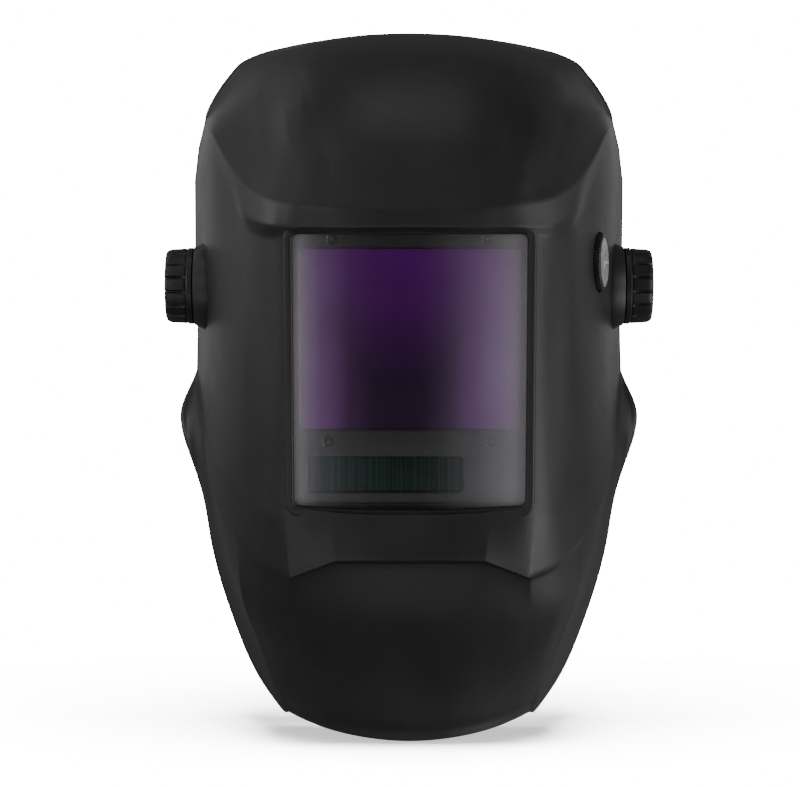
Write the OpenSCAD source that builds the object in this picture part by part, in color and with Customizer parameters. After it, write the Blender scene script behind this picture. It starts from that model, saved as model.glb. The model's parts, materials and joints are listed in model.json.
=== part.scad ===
// Auto-darkening welding helmet: a moulded shell with a filter cartridge, hinged on a head harness.
// The origin is the middle of the tilt axis, which is also the middle of the wearer's head.
// The shell faces -Y, +X is the wearer's left, +Z is up.

/* [Shell] */
// Reach of the shell wall from its outer to its inner skin
wall = 2.6; // [2.4:0.1:3]
// Radius of the round seat that each tension knob turns on
seat_r = 19; // [17:0.5:20]

/* [Cover lens and filter] */
// Width of the cover lens and of the filter cartridge
lens_w = 114; // [112:1:115]
// Height of the cover lens and of the filter cartridge
lens_h = 133; // [131:1:134]
// Lean of the lens from the vertical, top forward
lens_tilt = 11; // [9:0.5:12]
// Width of the darkening window
window_w = 101; // [98:1:102]
// Height of the darkening window
window_h = 85; // [80:1:86]

/* [Harness] */
// Half the inner width of the headband
band_a = 83; // [81:0.5:83]
// Half the inner length of the headband
band_b = 100; // [98:0.5:101]
// Height of the headband strip
band_h = 24; // [20:1:26]
// Tilt of the headband, front high
band_tilt = 18; // [16:1:19]

/* [Knobs] */
// Radius of the tension knobs
knob_r = 19.5; // [18.5:0.5:20]
// Number of grip flutes on a tension knob
knob_flutes = 16; // [12:2:20]
// Radius of the shade knob
shade_r = 14.3; // [13:0.1:15]
// Radius of the ratchet knob
ratchet_r = 21; // [18:1:22]

/* [Hidden] */
$fn = 48;

// Colours
BLACK = [0.08, 0.08, 0.085];
DARK = [0.16, 0.16, 0.17];
GREY = [0.33, 0.34, 0.35];
STEEL = [0.72, 0.73, 0.75];
VIOLET = [0.30, 0.08, 0.42];
GREEN = [0.03, 0.22, 0.14];

// The stack of parts along the tilt axis: distances from the middle plane
x_band = band_a + 1.6;      // outside of the headband
x_head = [85.6, 88.2];      // bolt head
x_rail = [88.5, 91.5];      // slotted rail
x_block = [91.8, 98.5];     // slider block
x_stop = [98.8, 101];       // tilt stop plate
x_inner = [101.2, 103];     // inner friction washer
x_seat = [103.2, 109.2];    // boss in the shell
x_outer = [109.4, 111];     // outer friction washer
x_knob = [111.2, 123.7];    // tension knob
shoulder_r = 5;             // plain part of the pivot bolt
thread_r = 3.9;             // threaded end of the pivot bolt
run = 0.05;                 // radial running clearance
tilt_range = 80;            // how far the shell tips up
lug_angle = 22;             // angle between a stop arm and the lug that rests on it
depth_travel = 10;          // fore and aft travel of the slider blocks, each way

// The lens stack: distances behind the outer face of the cover lens
lens_y = -130;              // middle of that face
lens_z = -44.5;
view_w = 108;               // opening in the front of the shell
view_h = 128;
y_cover = [0, 1.5];
y_gasket = [1.6, 2.4];
y_case = [2.5, 12.5];
y_split = 8;                // joint between the two halves of the cartridge
y_inner = [12.6, 13.6];     // inner cover lens
y_keeper = [13.8, 16.2];    // retaining frame
y_hump = 20;                // rear face of the control housing
window_z = 14;              // middle of the darkening window
solar_z = -50;            // middle of the solar cell
solar_x = -11.5;
solar_w = 72.5;
solar_h = 16.5;
hump_z = -49.5;             // middle of the control housing
hump_w = 100;
hump_h = 27;
control_x = [-38, -16];     // sensitivity and delay knobs
button_x = 3;
tray_x = 30;                // middle of the battery drawer
tray_w = 30;

// The shade knob on the wearer's left cheek
shade_at = [90.3, -64, 9];
shade_yaw = -13.5;            // its axis leans this far forward of +X

// The ratchet behind the head: distances along the band's own Y axis
y_pad = [98, 103.2];
y_cover_plate = [103.4, 104.8];
y_ratchet = [105, 113.6];
y_racks = [107, 110.4];     // the two overlapping racks
y_turn = [114, 127];        // ratchet knob
pinion_teeth = 10;
pinion_r = 6;               // pitch radius
rack_end = 36;              // where a rack leaves its case and the flexible strap begins
web_from = 111;             // angle round the band where the flexible strap begins
strap_h = 18;

// ---------- shell surface ----------
// Feature lines of the left half, each from the middle plane to the rear edge.
// A point is [u, x, y, z], and a fifth entry marks a sharp corner in the line.
LINES = [
    // top rim
    [[0, 0, -16, 127], [0.15, 22, -16, 126.2], [0.3, 42, -15, 123.9], [0.45, 61.5, -12, 120.8],
     [0.55, 76.6, -8, 117.4], [0.62, 85.6, -3, 113.8], [0.7, 92, 3, 108], [0.84, 100, 9.5, 98],
     [0.93, 103.6, 13, 92], [1, 105, 15.5, 89]],
    // upper dome
    [[0, 0, -62, 119], [0.3, 38, -59, 117], [0.45, 56, -53, 113.5], [0.55, 67, -46, 110],
     [0.62, 75, -38, 106.5], [0.7, 83, -27, 102.5], [0.84, 96, -5, 93.5], [1, 105.2, 16, 88]],
    // middle dome
    [[0, 0, -108, 99], [0.3, 36, -105, 97.5], [0.45, 52, -98, 95.5], [0.55, 62, -89, 93],
     [0.62, 70, -79, 91], [0.7, 79, -62, 89.5], [0.84, 94, -24, 88], [1, 105.4, 16.5, 87]],
    // lower dome
    [[0, 0, -141, 64], [0.3, 35, -138, 64.5], [0.45, 52, -130, 66], [0.55, 63, -119, 68],
     [0.62, 71, -106, 70.5], [0.7, 80, -86, 75], [0.84, 95, -40, 82], [1, 105.6, 17, 86]],
    // brow edge
    [[0, 0, -157, 27.5], [0.15, 20, -156.5, 28], [0.3, 38, -154, 29.5], [0.45, 56, -147, 32],
     [0.55, 68, -136, 36], [0.62, 77, -121, 42], [0.7, 85.5, -98, 53], [0.84, 97, -52, 73],
     [1, 105.8, 17.5, 85]],
    // foot of the brow lip
    [[0, 0, -156, 20.5], [0.3, 38, -153, 20.5], [0.45, 57, -146.5, 21.5], [0.55, 68.5, -137, 23.5],
     [0.62, 77, -121, 28.5], [0.7, 84, -96, 40], [0.84, 97.5, -50, 60], [1, 109.5, 26, 73]],
    // under the brow
    [[0, 0, -144, 17.5], [0.3, 38, -144, 17.5], [0.45, 58, -143, 17.5], [0.55, 69, -131.5, 18],
     [0.62, 76, -118, 22], [0.7, 83.5, -95, 33], [0.84, 97.5, -48, 50], [1, 112, 33, 56]],
    // upper cheek
    [[0, 0, -137, -15], [0.3, 38, -137, -15], [0.45, 58, -136.5, -15], [0.55, 68, -126, -15],
     [0.62, 76, -115, -14], [0.7, 83, -96, -12], [0.84, 96.5, -48, -4], [1, 111.9, 38, 14]],
    // lower cheek
    [[0, 0, -126, -75], [0.3, 38, -126, -75], [0.45, 58, -125, -75], [0.55, 68, -116, -75],
     [0.62, 76.5, -105, -74], [0.7, 84, -89, -70], [0.84, 96.5, -43, -56], [1, 110.8, 37, -18]],
    // below the lens sill
    [[0, 0, -121.5, -113], [0.3, 38, -121, -113], [0.45, 58.5, -117.5, -112.5],
     [0.55, 68.5, -109, -111], [0.62, 77, -98, -106], [0.7, 86, -82, -98],
     [0.84, 99, -36, -80], [1, 110.9, 36, -30]],
    // jaw edge
    [[0, 0, -124, -133], [0.15, 18, -123.5, -133], [0.3, 35, -121, -133.3, 1],
     [0.45, 56.5, -112, -142, 1], [0.55, 72, -97.5, -135.5], [0.64, 84, -81, -124.5],
     [0.7, 89, -68, -117.5], [0.78, 95, -49, -109], [0.86, 101, -25, -94.5],
     [0.93, 105.2, 0, -75], [1, 111, 35, -38]],
    // under the jaw
    [[0, 0, -112, -135], [0.15, 18, -111.5, -135], [0.3, 36, -110, -135.3, 1],
     [0.45, 57, -102.5, -143.5, 1], [0.55, 71, -91, -137.5], [0.64, 82.5, -77, -126.5],
     [0.7, 87.5, -65, -119], [0.78, 94, -47, -110], [0.86, 100.4, -24, -95.5],
     [0.93, 104.8, 1, -76], [1, 111, 35.2, -39.5]],
    // upper chin
    [[0, 0, -102.5, -160], [0.15, 19, -102, -160], [0.3, 38, -98.5, -160], [0.45, 58, -91, -158.5],
     [0.55, 72, -81, -155], [0.64, 82, -71, -149.5, 1], [0.7, 87, -54, -140],
     [0.78, 93.3, -34, -125], [0.86, 99.5, -14, -105], [0.93, 106.5, 8, -80], [1, 111.1, 35.4, -41]],
    // lower chin
    [[0, 0, -82, -191], [0.15, 19, -81, -191], [0.3, 37, -76, -190], [0.45, 54, -66.5, -188],
     [0.55, 65, -57, -185.5], [0.64, 73, -47.5, -182, 1], [0.7, 81.5, -31, -170],
     [0.78, 91.2, -15, -148], [0.86, 100.5, 0, -119], [0.93, 110.5, 17, -79], [1, 111.2, 35.6, -42.5]],
    // chin rim
    [[0, 0, -68, -224], [0.15, 18, -66, -223], [0.3, 36, -58, -220.4], [0.45, 51.5, -44, -216.6],
     [0.55, 59.5, -34, -214], [0.64, 65, -26, -212], [0.7, 76.8, -11, -197.5],
     [0.78, 89.8, 2, -170.5], [0.86, 101.4, 13, -135], [0.91, 108.2, 21.5, -103],
     [0.945, 118.2, 27, -74], [0.96, 119.2, 29, -66], [1, 111.6, 35.8, -44]],
];
// Lines that are creases, and how many strips lie below each line
CREASE = [1, 0, 0, 0, 1, 1, 1, 0, 0, 1, 1, 1, 0, 0, 1];
STRIPS = [3, 3, 3, 2, 1, 1, 2, 3, 2, 1, 1, 2, 2, 3];
U_HALF = [0, 0.1, 0.2, 0.3, 0.375, 0.45, 0.5, 0.55, 0.6, 0.64, 0.7, 0.74, 0.78, 0.82, 0.86,
    0.895, 0.93, 0.945, 0.97, 1];
// Aim of the wall's thickness: a point on the middle plane, this share of the way up
CORE_Y = 20;
CORE_RISE = 0.55;

function unit(v) = v / norm(v);
function place(k) = [k[1], k[2], k[3]];
function hermite(a, b, ma, mb, h, t) =
    a * (2 * t^3 - 3 * t^2 + 1) + b * (3 * t^2 - 2 * t^3)
    + ma * h * (t^3 - 2 * t^2 + t) + mb * h * (t^3 - t^2);
// Slope at point i of points p with spacing values s; side picks which of a corner's two slopes
function chord(p, s, i) = (p[i + 1] - p[i]) / (s[i + 1] - s[i]);
function slope(p, s, i, side, sharp) =
    i == 0 ? chord(p, s, 0)
    : i == len(p) - 1 ? chord(p, s, i - 1)
    : sharp ? chord(p, s, side < 0 ? i - 1 : i)
    : let (a = s[i] - s[i - 1], b = s[i + 1] - s[i])
        (chord(p, s, i - 1) * b + chord(p, s, i) * a) / (a + b);
function span_of(line, u, i = 0) =
    i >= len(line) - 2 || u < line[i + 1][0] ? i : span_of(line, u, i + 1);
function on_line(line, u) =
    let (i = span_of(line, u), p = [for (k = line) place(k)], s = [for (k = line) k[0]],
        h = s[i + 1] - s[i],
        start = i == 0 ? [p[1][0] / s[1], 0, 0] : slope(p, s, i, 1, len(line[i]) > 4),
        end = slope(p, s, i + 1, -1, len(line[i + 1]) > 4))
    hermite(p[i], p[i + 1], start, end, h, (u - s[i]) / h);
function running(p, i = 0, total = 0) =
    i >= len(p) ? [] : concat([total],
        running(p, i + 1, i + 1 < len(p) ? total + norm(p[i + 1] - p[i]) : 0));
// One column of the skin, from the top rim to the chin rim
function column(u) =
    let (p = [for (line = LINES) on_line(line, u)], s = running(p))
    concat([for (j = [0:len(p) - 2], n = [0:STRIPS[j] - 1])
        hermite(p[j], p[j + 1], slope(p, s, j, 1, CREASE[j] == 1),
            slope(p, s, j + 1, -1, CREASE[j + 1] == 1), s[j + 1] - s[j], n / STRIPS[j])],
        [p[len(p) - 1]]);
function mirrored(col) = [for (p = col) [-p[0], p[1], p[2]]];
function inward(p) = p + wall * unit([0, CORE_Y, CORE_RISE * p[2]] - p);

module skin() {
    half = [for (u = U_HALF) column(u)];
    cols = concat([for (i = [len(half) - 1:-1:1]) mirrored(half[i])], half);
    nc = len(cols);
    nr = len(cols[0]);
    outer = [for (c = cols, p = c) p];
    inner = [for (p = outer) inward(p)];
    o = nc * nr;
    polyhedron(concat(outer, inner), concat(
        [for (c = [0:nc - 2], r = [0:nr - 2], h = [0, 1]) let (a = c * nr + r)
            h == 0 ? [a, a + nr, a + 1] : [a + 1, a + nr, a + nr + 1]],
        [for (c = [0:nc - 2], r = [0:nr - 2], h = [0, 1]) let (a = o + c * nr + r)
            h == 0 ? [a, a + 1, a + nr] : [a + 1, a + nr + 1, a + nr]],
        [for (c = [0:nc - 2], h = [0, 1]) let (a = c * nr, b = a + nr)
            h == 0 ? [a, o + a, b] : [b, o + a, o + b]],
        [for (c = [0:nc - 2], h = [0, 1]) let (a = c * nr + nr - 1, b = a + nr)
            h == 0 ? [a, b, o + a] : [b, o + b, o + a]],
        [for (r = [0:nr - 2], h = [0, 1]) let (a = r, b = r + 1)
            h == 0 ? [a, b, o + a] : [b, o + b, o + a]],
        [for (r = [0:nr - 2], h = [0, 1]) let (a = (nc - 1) * nr + r, b = a + 1)
            h == 0 ? [a, o + a, b] : [b, o + a, o + b]]));
}

// ---------- shared shapes ----------
module lens_frame() translate([0, lens_y, lens_z]) rotate([lens_tilt, 0, 0]) children();
module band_frame() rotate([-band_tilt, 0, 0]) children();
module shade_frame() translate(shade_at) rotate([0, 0, shade_yaw]) rotate([0, 90, 0]) children();
// A slab across the lens stack, w by h about a middle at x, z, between the depths y[0] and y[1]
module slab(w, h, y, x = 0, z = 0)
    translate([x - w / 2, y[0], z - h / 2]) cube([w, y[1] - y[0], h]);
// The same with round corners
module pane(w, h, y, r, x = 0, z = 0)
    translate([x, y[1], z]) rotate([90, 0, 0]) linear_extrude(y[1] - y[0])
        rounded(w, h, r);
module rounded(w, h, r) {
    square([w - 2 * r, h], center = true);
    square([w, h - 2 * r], center = true);
    for (i = [-1, 1], j = [-1, 1]) translate([i * (w / 2 - r), j * (h / 2 - r)]) circle(r);
}
// A disc on a line parallel to Y, between the depths y[0] and y[1]
module disc(r, y, x = 0, z = 0) translate([x, y[1], z]) rotate([90, 0, 0]) cylinder(r = r, h = y[1] - y[0]);
// A disc on the tilt axis, between the distances x[0] and x[1]
module axial(r, x) translate([x[0], 0, 0]) rotate([0, 90, 0]) cylinder(r = r, h = x[1] - x[0]);
module ring(r, hole, x) difference() {
    axial(r, x);
    axial(hole, [x[0] - 1, x[1] + 1]);
}
module on_side(side) mirror([side < 0 ? 1 : 0, 0, 0]) children();

// ---------- shell body ----------
bay = [lens_w + 0.6, lens_h + 0.6];
latch_x = 40;               // latch pivots, and their height above the lens middle
latch_z = bay[1] / 2 + 4.5;
skirt_r = seat_r + 3.6;     // foot of the conical boss under a tension knob
pocket_r = seat_r + 1.2;    // recess behind the boss, for the stop and the friction washer
boss_x = x_stop[0] - 0.3;   // inner end of the boss
module pivot_boss() translate([boss_x, 0, 0]) rotate([0, 90, 0]) rotate_extrude()
    polygon([[0, 0], [skirt_r, 0], [skirt_r, 5], [seat_r + 1, x_seat[1] - boss_x],
        [0, x_seat[1] - boss_x]]);
module helmet_shell() color(BLACK) {
    difference() {
        union() {
            skin();
            lens_frame() {
                pane(view_w + 8.7, view_h + 9.3, [-3, 4.2], 6, z = -1);
                pane(bay[0] + 6, bay[1] + 6, [1, y_case[1]], 4);
                for (i = [-1, 1]) pane(11, 12, [3, y_keeper[0] - 0.2], 3, i * latch_x, latch_z - 1);
            }
            for (s = [-1, 1]) on_side(s) pivot_boss();
            shade_frame() translate([0, 0, -3.6]) cylinder(r = shade_r + 3, h = 4.4);
        }
        lens_frame() {
            pane(view_w, view_h, [-12, 1], 3);
            pane(bay[0], bay[1], [0, 40], 1.5);
            for (i = [-1, 1]) disc(1.25, [5, 20], i * latch_x, latch_z);
        }
        for (s = [-1, 1]) on_side(s) {
            axial(shoulder_r + run, [80, 130]);
            axial(pocket_r, [80, x_seat[0]]);
            axial(knob_r + 0.8, [x_seat[1], 130]);
        }
        shade_frame() {
            translate([0, 0, -20]) cylinder(r = 3.6, h = 30);
            translate([0, 0, -1]) cylinder(r = shade_r + 0.6, h = 12);
        }
    }
    // Lugs that meet the arms of the tilt stops
    for (s = [-1, 1]) on_side(s)
        translate([x_stop[0], -3, -pocket_r - 0.5]) cube([x_seat[0] - x_stop[0] + 0.5, 6, 6]);
}
module front_cover_lens() color([0.85, 0.88, 0.9, 0.3]) lens_frame()
    pane(lens_w, lens_h, [y_cover[0] + 0.05, y_cover[1]], 2);
module cover_lens_gasket() color(BLACK) lens_frame() difference() {
    pane(lens_w, lens_h, y_gasket, 2);
    pane(lens_w - 6, lens_h - 6, [1, 4], 2);
}
module sensor_spots() for (i = [-1, 1]) {
    translate([i * 35.8, 0, 61.2]) children();
    translate([i * 38.2, 0, -34.2]) children();
}
module filter_case_front() color(GREY) lens_frame() difference() {
    pane(lens_w, lens_h, [y_case[0], y_split], 3);
    pane(window_w, window_h, [0, 20], 2, z = window_z);
    pane(solar_w, solar_h, [0, 4], 1.5, solar_x, solar_z);
    pane(window_w + 5, window_h + 5, [3.7, 20], 2, z = window_z);
    slab(solar_w + 4, solar_h + 4, [3.7, 20], solar_x, solar_z);
    slab(107, 24, [5, 20], 0, board_z);
    sensor_spots() disc(2.1, [0, 20]);
    case_screws() disc(1.25, [4, 20]);
}
board_z = -48.5;
screw_head = y_case[1] - 1.4;
module case_screws() for (i = [-1, 1], j = [-1, 1]) translate([i * 54.3, 0, j * 63]) children();
module filter_case_rear() color(DARK) lens_frame() difference() {
    union() {
        pane(lens_w, lens_h, [y_split + 0.1, y_case[1]], 3);
        pane(hump_w, hump_h, [y_case[1] - 1, y_hump], 3, z = hump_z);
    }
    pane(window_w - 4, window_h - 4, [0, 30], 2, z = window_z);
    slab(hump_w - 4, hump_h - 5, [0, y_hump - 2], 0, hump_z + 0.5);
    slab(tray_w + 0.6, 40, [y_case[1] + 0.4, y_hump - 1.4], tray_x, hump_z - 22);
    for (x = control_x) disc(2.6, [10, 30], x, hump_z);
    disc(3.3, [10, 30], button_x, hump_z);
    case_screws() {
        disc(1.25, [0, 30]);
        disc(2.2, [screw_head, 30]);
    }
}
module filter_case_screws() color(STEEL) lens_frame() case_screws() {
    disc(1.2, [4.2, screw_head + 0.2]);
    disc(2.1, [screw_head + 0.1, screw_head + 1.2]);
}
module window_pane(y) lens_frame() pane(window_w + 4.4, window_h + 4.4, y, 1.5, z = window_z);
module interference_filter() color(VIOLET) window_pane([3.8, 4.9]);
module lcd_shutter_front() color(DARK) window_pane([5, 6.2]);
module polariser_film() color(DARK) window_pane([6.3, 6.6]);
module lcd_shutter_rear() color(DARK) window_pane([6.7, 7.9]);
module solar_cell() color(GREEN) lens_frame()
    slab(solar_w + 3.4, solar_h + 3.4, [3.8, 4.8], solar_x, solar_z);
module arc_sensors() color(BLACK) lens_frame() sensor_spots() {
    disc(1.8, [2.9, 5]);
}
module circuit_board() color(GREEN) lens_frame() difference() {
    slab(104, 20, [5.1, 6.5], 0, board_z);
    for (i = [-1, 1]) disc(2.5, [0, 20], i * 46, board_z);
}
module inner_cover_lens() color([0.85, 0.88, 0.9, 0.3]) lens_frame()
    pane(window_w + 2, window_h + 2, y_inner, 2, z = window_z);
magnifier_w = 108;
module filter_retainer() color(BLACK) lens_frame() {
    difference() {
        pane(bay[0] + 4, bay[1] + 4, y_keeper, 4);
        pane(window_w - 4, window_h - 4, [0, 30], 3, z = window_z);
        pane(hump_w + 2, hump_h + 30, [0, 30], 3, z = hump_z - 14);
    }
    // Rails for a magnifying lens
    for (i = [-1, 1]) {
        slab(1.4, 56, [y_keeper[1] - 0.5, y_keeper[1] + 4.4], i * (magnifier_w / 2 + 1), window_z);
        slab(5, 56, [y_keeper[1] + 3.2, y_keeper[1] + 4.4], i * (magnifier_w / 2 - 0.8), window_z);
        slab(6, 1.4, [y_keeper[1] - 0.5, y_keeper[1] + 4.4], i * (magnifier_w / 2 - 1.3), window_z - 28.7);
    }
}
y_latch = [y_keeper[1] + 0.3, 18.7];
module latch_screws() color(STEEL) lens_frame() for (i = [-1, 1]) {
    disc(1.2, [6, y_latch[1] + 0.3], i * latch_x, latch_z);
    disc(2.6, [y_latch[1] + 0.2, y_latch[1] + 1.7], i * latch_x, latch_z);
}
module filter_latch(side) color(DARK) lens_frame() on_side(side) difference() {
    union() {
        disc(5, y_latch, latch_x, latch_z);
        slab(7, 16, y_latch, latch_x, latch_z - 8);
        slab(5, 1.5, [y_latch[0] + 1, y_latch[1] + 2], latch_x, latch_z - 14);
    }
    disc(1.2 + run, [0, 30], latch_x, latch_z);
}
coin_z = hump_z - 1.9;
module battery_contacts() color(STEEL) lens_frame() for (i = [-1, 1]) {
    slab(5, 8, [12.4, 12.7], tray_x + i * 6, hump_z + 1);
    slab(5, 0.6, [6.6, 12.5], tray_x + i * 6, hump_z + 4.6);
}
module battery_drawer() color(DARK) lens_frame() difference() {
    union() {
        slab(tray_w, hump_h + 0.2, [y_case[1] + 0.8, y_hump - 2.2], tray_x, hump_z - 2.4);
        slab(tray_w - 6, 2, [y_case[1] + 0.8, y_hump - 1.2], tray_x, hump_z - hump_h / 2 - 3.2);
    }
    disc(12.6, [0, y_hump - 3.1], tray_x, coin_z);
}
module coin_cell() color(STEEL) lens_frame()
    disc(12.2, [y_case[1] + 0.9, y_hump - 3.2], tray_x, coin_z);
module control_knob(x) color(GREY) lens_frame() difference() {
    union() {
        disc(2.5, [15, y_hump + 1], x, hump_z);
        disc(7.5, [y_hump + 0.3, y_hump + 4.6], x, hump_z);
    }
    for (a = [0:30:359]) translate([x, 0, hump_z]) rotate([0, a, 0])
        disc(0.8, [0, 40], 7.8, 0);
    slab(1.2, 9, [y_hump + 3.8, 40], x, hump_z + 4);
}
module test_button() color([0.55, 0.08, 0.06]) lens_frame() {
    disc(3.2, [y_hump - 1.8, y_hump + 2], button_x, hump_z);
    disc(4.6, [y_hump - 3.6, y_hump - 2.3], button_x, hump_z);
    disc(3.2, [y_hump - 2.4, y_hump - 1.7], button_x, hump_z);
}
module test_button_spring() color(STEEL) lens_frame() translate([button_x, 6.9, hump_z])
    rotate([-90, 0, 0]) tube([for (k = [0:50]) [2.4 * cos(36 * k), 2.4 * sin(36 * k), 0.18 * k]], 0.3, 6);

// ---------- shade control ----------
module shade_potentiometer() color(GREY) shade_frame() difference() {
    union() {
        translate([0, 0, -10.8]) cylinder(r = 8.5, h = 7);
        translate([0, 0, -4]) cylinder(r = 3.5, h = 4.9);
        translate([8, -3, -9.8]) cube([2, 6, 5]);
    }
    translate([0, 0, -9.8]) cylinder(r = 2 + run, h = 30);
}
module shade_lock_nut() color(STEEL) shade_frame() difference() {
    translate([0, 0, -0.9]) cylinder(r = 5.6, h = 1.7, $fn = 6);
    translate([0, 0, -2]) cylinder(r = 3.55, h = 5);
}
module shade_shaft() color(STEEL) shade_frame() translate([0, 0, -9.6]) cylinder(r = 2, h = 13.5);
module shade_knob() color(BLACK) shade_frame() difference() {
    translate([0, 0, 0.4]) rotate_extrude() polygon([[0, 0], [shade_r - 0.6, 0],
        [shade_r, 0.8], [shade_r, 3.6], [shade_r - 1.2, 4.8], [0, 4.8]]);
    cylinder(r = 7, h = 2.2);
    translate([0, 0, -1]) cylinder(r = 2, h = 5.1);
    translate([0, 0, 4.4]) cylinder(r = shade_r - 2, h = 3);
    for (a = [0:10:359]) rotate([0, 0, a]) translate([shade_r + 0.35, 0, 0])
        cylinder(r = 0.85, h = 4.6, $fn = 16);
}
module shade_knob_face() color(STEEL) shade_frame() {
    translate([0, 0, 4.4]) cylinder(r = shade_r - 2.1, h = 0.6);
    translate([0, 0, 4.9]) cylinder(r = 3.4, h = 0.9);
}
CABLE = [[83.2, -62.4, -1.4], [82.4, -66, -10], [79.5, -74, -22], [75, -84, -38], [70, -92, -54],
    [64, -98, -69], [57.5, -101.6, -80.5], [51.4, -102.7, -86.5]];
// A round tube with n sides along a path
function tube_ring(path, i, r, n) =
    let (t = unit(path[min(i + 1, len(path) - 1)] - path[max(i - 1, 0)]),
        a = unit(cross(t, [0, 0.01, 1])), b = cross(t, a))
    [for (k = [0:n - 1]) path[i] + r * (a * cos(360 * k / n) + b * sin(360 * k / n))];
module tube(path, r, n) {
    last = len(path) - 1;
    polyhedron([for (i = [0:last]) each tube_ring(path, i, r, n)], concat(
        [[for (k = [0:n - 1]) k]], [[for (k = [n - 1:-1:0]) last * n + k]],
        [for (i = [0:last - 1], k = [0:n - 1], h = [0, 1]) let (a = i * n + k, b = i * n + (k + 1) % n)
            h == 0 ? [a, a + n, b] : [b, a + n, b + n]]));
}
module shade_cable() color(BLACK) tube(CABLE, 1.3, 8);

// ---------- tilt pivots ----------
module pivot_bolt(side) color(STEEL) on_side(side) {
    axial(9, x_head);
    axial(shoulder_r, [x_head[1] - 0.1, x_seat[1] + 0.1]);
    axial(thread_r, [x_seat[1], 119.6]);
}
module slide_rail(side) color(BLACK) on_side(side) difference() {
    union() {
        translate([x_rail[0], -30, -11]) cube([x_rail[1] - x_rail[0], 60, 22]);
        difference() {
            for (p = PEGS) translate([78, p[0] - 3.5, -8]) cube([x_rail[0] - 77.9, 7, 16]);
            band_frame() strip(-120, 120, -20, 1.9, 100);
        }
        for (p = PEGS) translate([78.2, p[0], p[1]]) rotate([0, 90, 0]) {
            cylinder(r = peg_r, h = 6);
            cylinder(r = peg_r + 1.2, h = 1);
        }
    }
    translate([80, -depth_travel, -shoulder_r - 0.1])
        cube([20, 2 * depth_travel, 2 * shoulder_r + 0.2]);
    for (i = [-1, 1]) translate([80, i * depth_travel, 0]) rotate([0, 90, 0])
        cylinder(r = shoulder_r + 0.1, h = 20);
    for (k = [-2:2]) translate([x_rail[1] - 1, k * 5 - 1, 8.4]) cube([3, 2, 4]);
}
module slider_block(side) color(DARK) on_side(side) difference() {
    union() {
        translate([x_block[0], -14, -13]) cube([x_block[1] - x_block[0], 28, 26]);
        translate([x_rail[0] + 0.4, -4, 11.6]) cube([x_block[1] - x_rail[0] - 0.4, 8, 2.4]);
    }
    axial(shoulder_r + run, [80, 120]);
}
module tilt_stop(side) color(BLACK) on_side(side) difference() {
    union() {
        axial(13, x_stop);
        for (a = [lug_angle, -lug_angle - tilt_range]) rotate([a, 0, 0])
            translate([x_stop[0], -2.5, -18.5]) cube([x_stop[1] - x_stop[0], 5, 18]);
    }
    axial(shoulder_r + run, [80, 120]);
    for (a = [0:45:359]) rotate([a, 0, 0]) translate([80, 0, 10]) rotate([0, 90, 0])
        cylinder(r = 1.2, h = 40);
}
module inner_washer(side) color(GREY) on_side(side) ring(12, shoulder_r + run, x_inner);
module outer_washer(side) color(GREY) on_side(side) ring(13, thread_r + run, x_outer);
module tension_knob(side) color(BLACK) on_side(side) difference() {
    translate([109.7, 0, 0]) rotate([0, 90, 0]) rotate_extrude() polygon([[0, 0],
        [knob_r, 0], [knob_r - 1, x_knob[1] - 111.2], [knob_r - 2.5, x_knob[1] - 109.7],
        [0, x_knob[1] - 109.7]]);
    axial(14, [100, x_knob[0]]);
    axial(thread_r + run, [100, 120]);
    axial(knob_r - 6, [x_knob[1] - 1.5, 130]);
    for (a = [0:360 / knob_flutes:359]) rotate([a + 11, 0, 0])
        translate([105, 0, knob_r + 0.3]) rotate([0, 90, 0]) cylinder(r = 1.1, h = 30, $fn = 16);
}

// ---------- harness ----------
function on_band(a, out) = [(band_a + out) * sin(a), -(band_b + out) * cos(a)];
function band_strip(a0, a1, in, out, n) = concat(
    [for (k = [0:n]) on_band(a0 + (a1 - a0) * k / n, in)],
    [for (k = [n:-1:0]) on_band(a0 + (a1 - a0) * k / n, out)]);
module strip(a0, a1, in, out, h, n = 40) translate([0, 0, -h / 2])
    linear_extrude(h) polygon(band_strip(a0, a1, in, out, n));
PEGS = [[-26, 4], [23, -4]]; // y and z of the pegs that hold the rails on the band
peg_r = 2.4;
rivet_at = [10, -2];        // rivets between the crown straps and the band
module headband() color(BLACK) difference() {
    band_frame() strip(-web_from, web_from, 0, 1.6, band_h);
    for (s = [-1, 1]) on_side(s) {
        for (p = PEGS) translate([70, p[0], p[1]]) rotate([0, 90, 0])
            cylinder(r = peg_r + run, h = 20);
        translate([70, rivet_at[0], rivet_at[1]]) rotate([0, 90, 0]) cylinder(r = 2 + run, h = 20);
        web_rivet(60, 2 + run, 40);
    }
}
module web_rivet(x, r, h) band_frame() translate([x, 33, 0]) rotate([0, 90, 0]) cylinder(r = r, h = h);
module sweatband() color(DARK) band_frame() strip(-62, 62, -6.4, -0.3, band_h + 10, 30);
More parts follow.
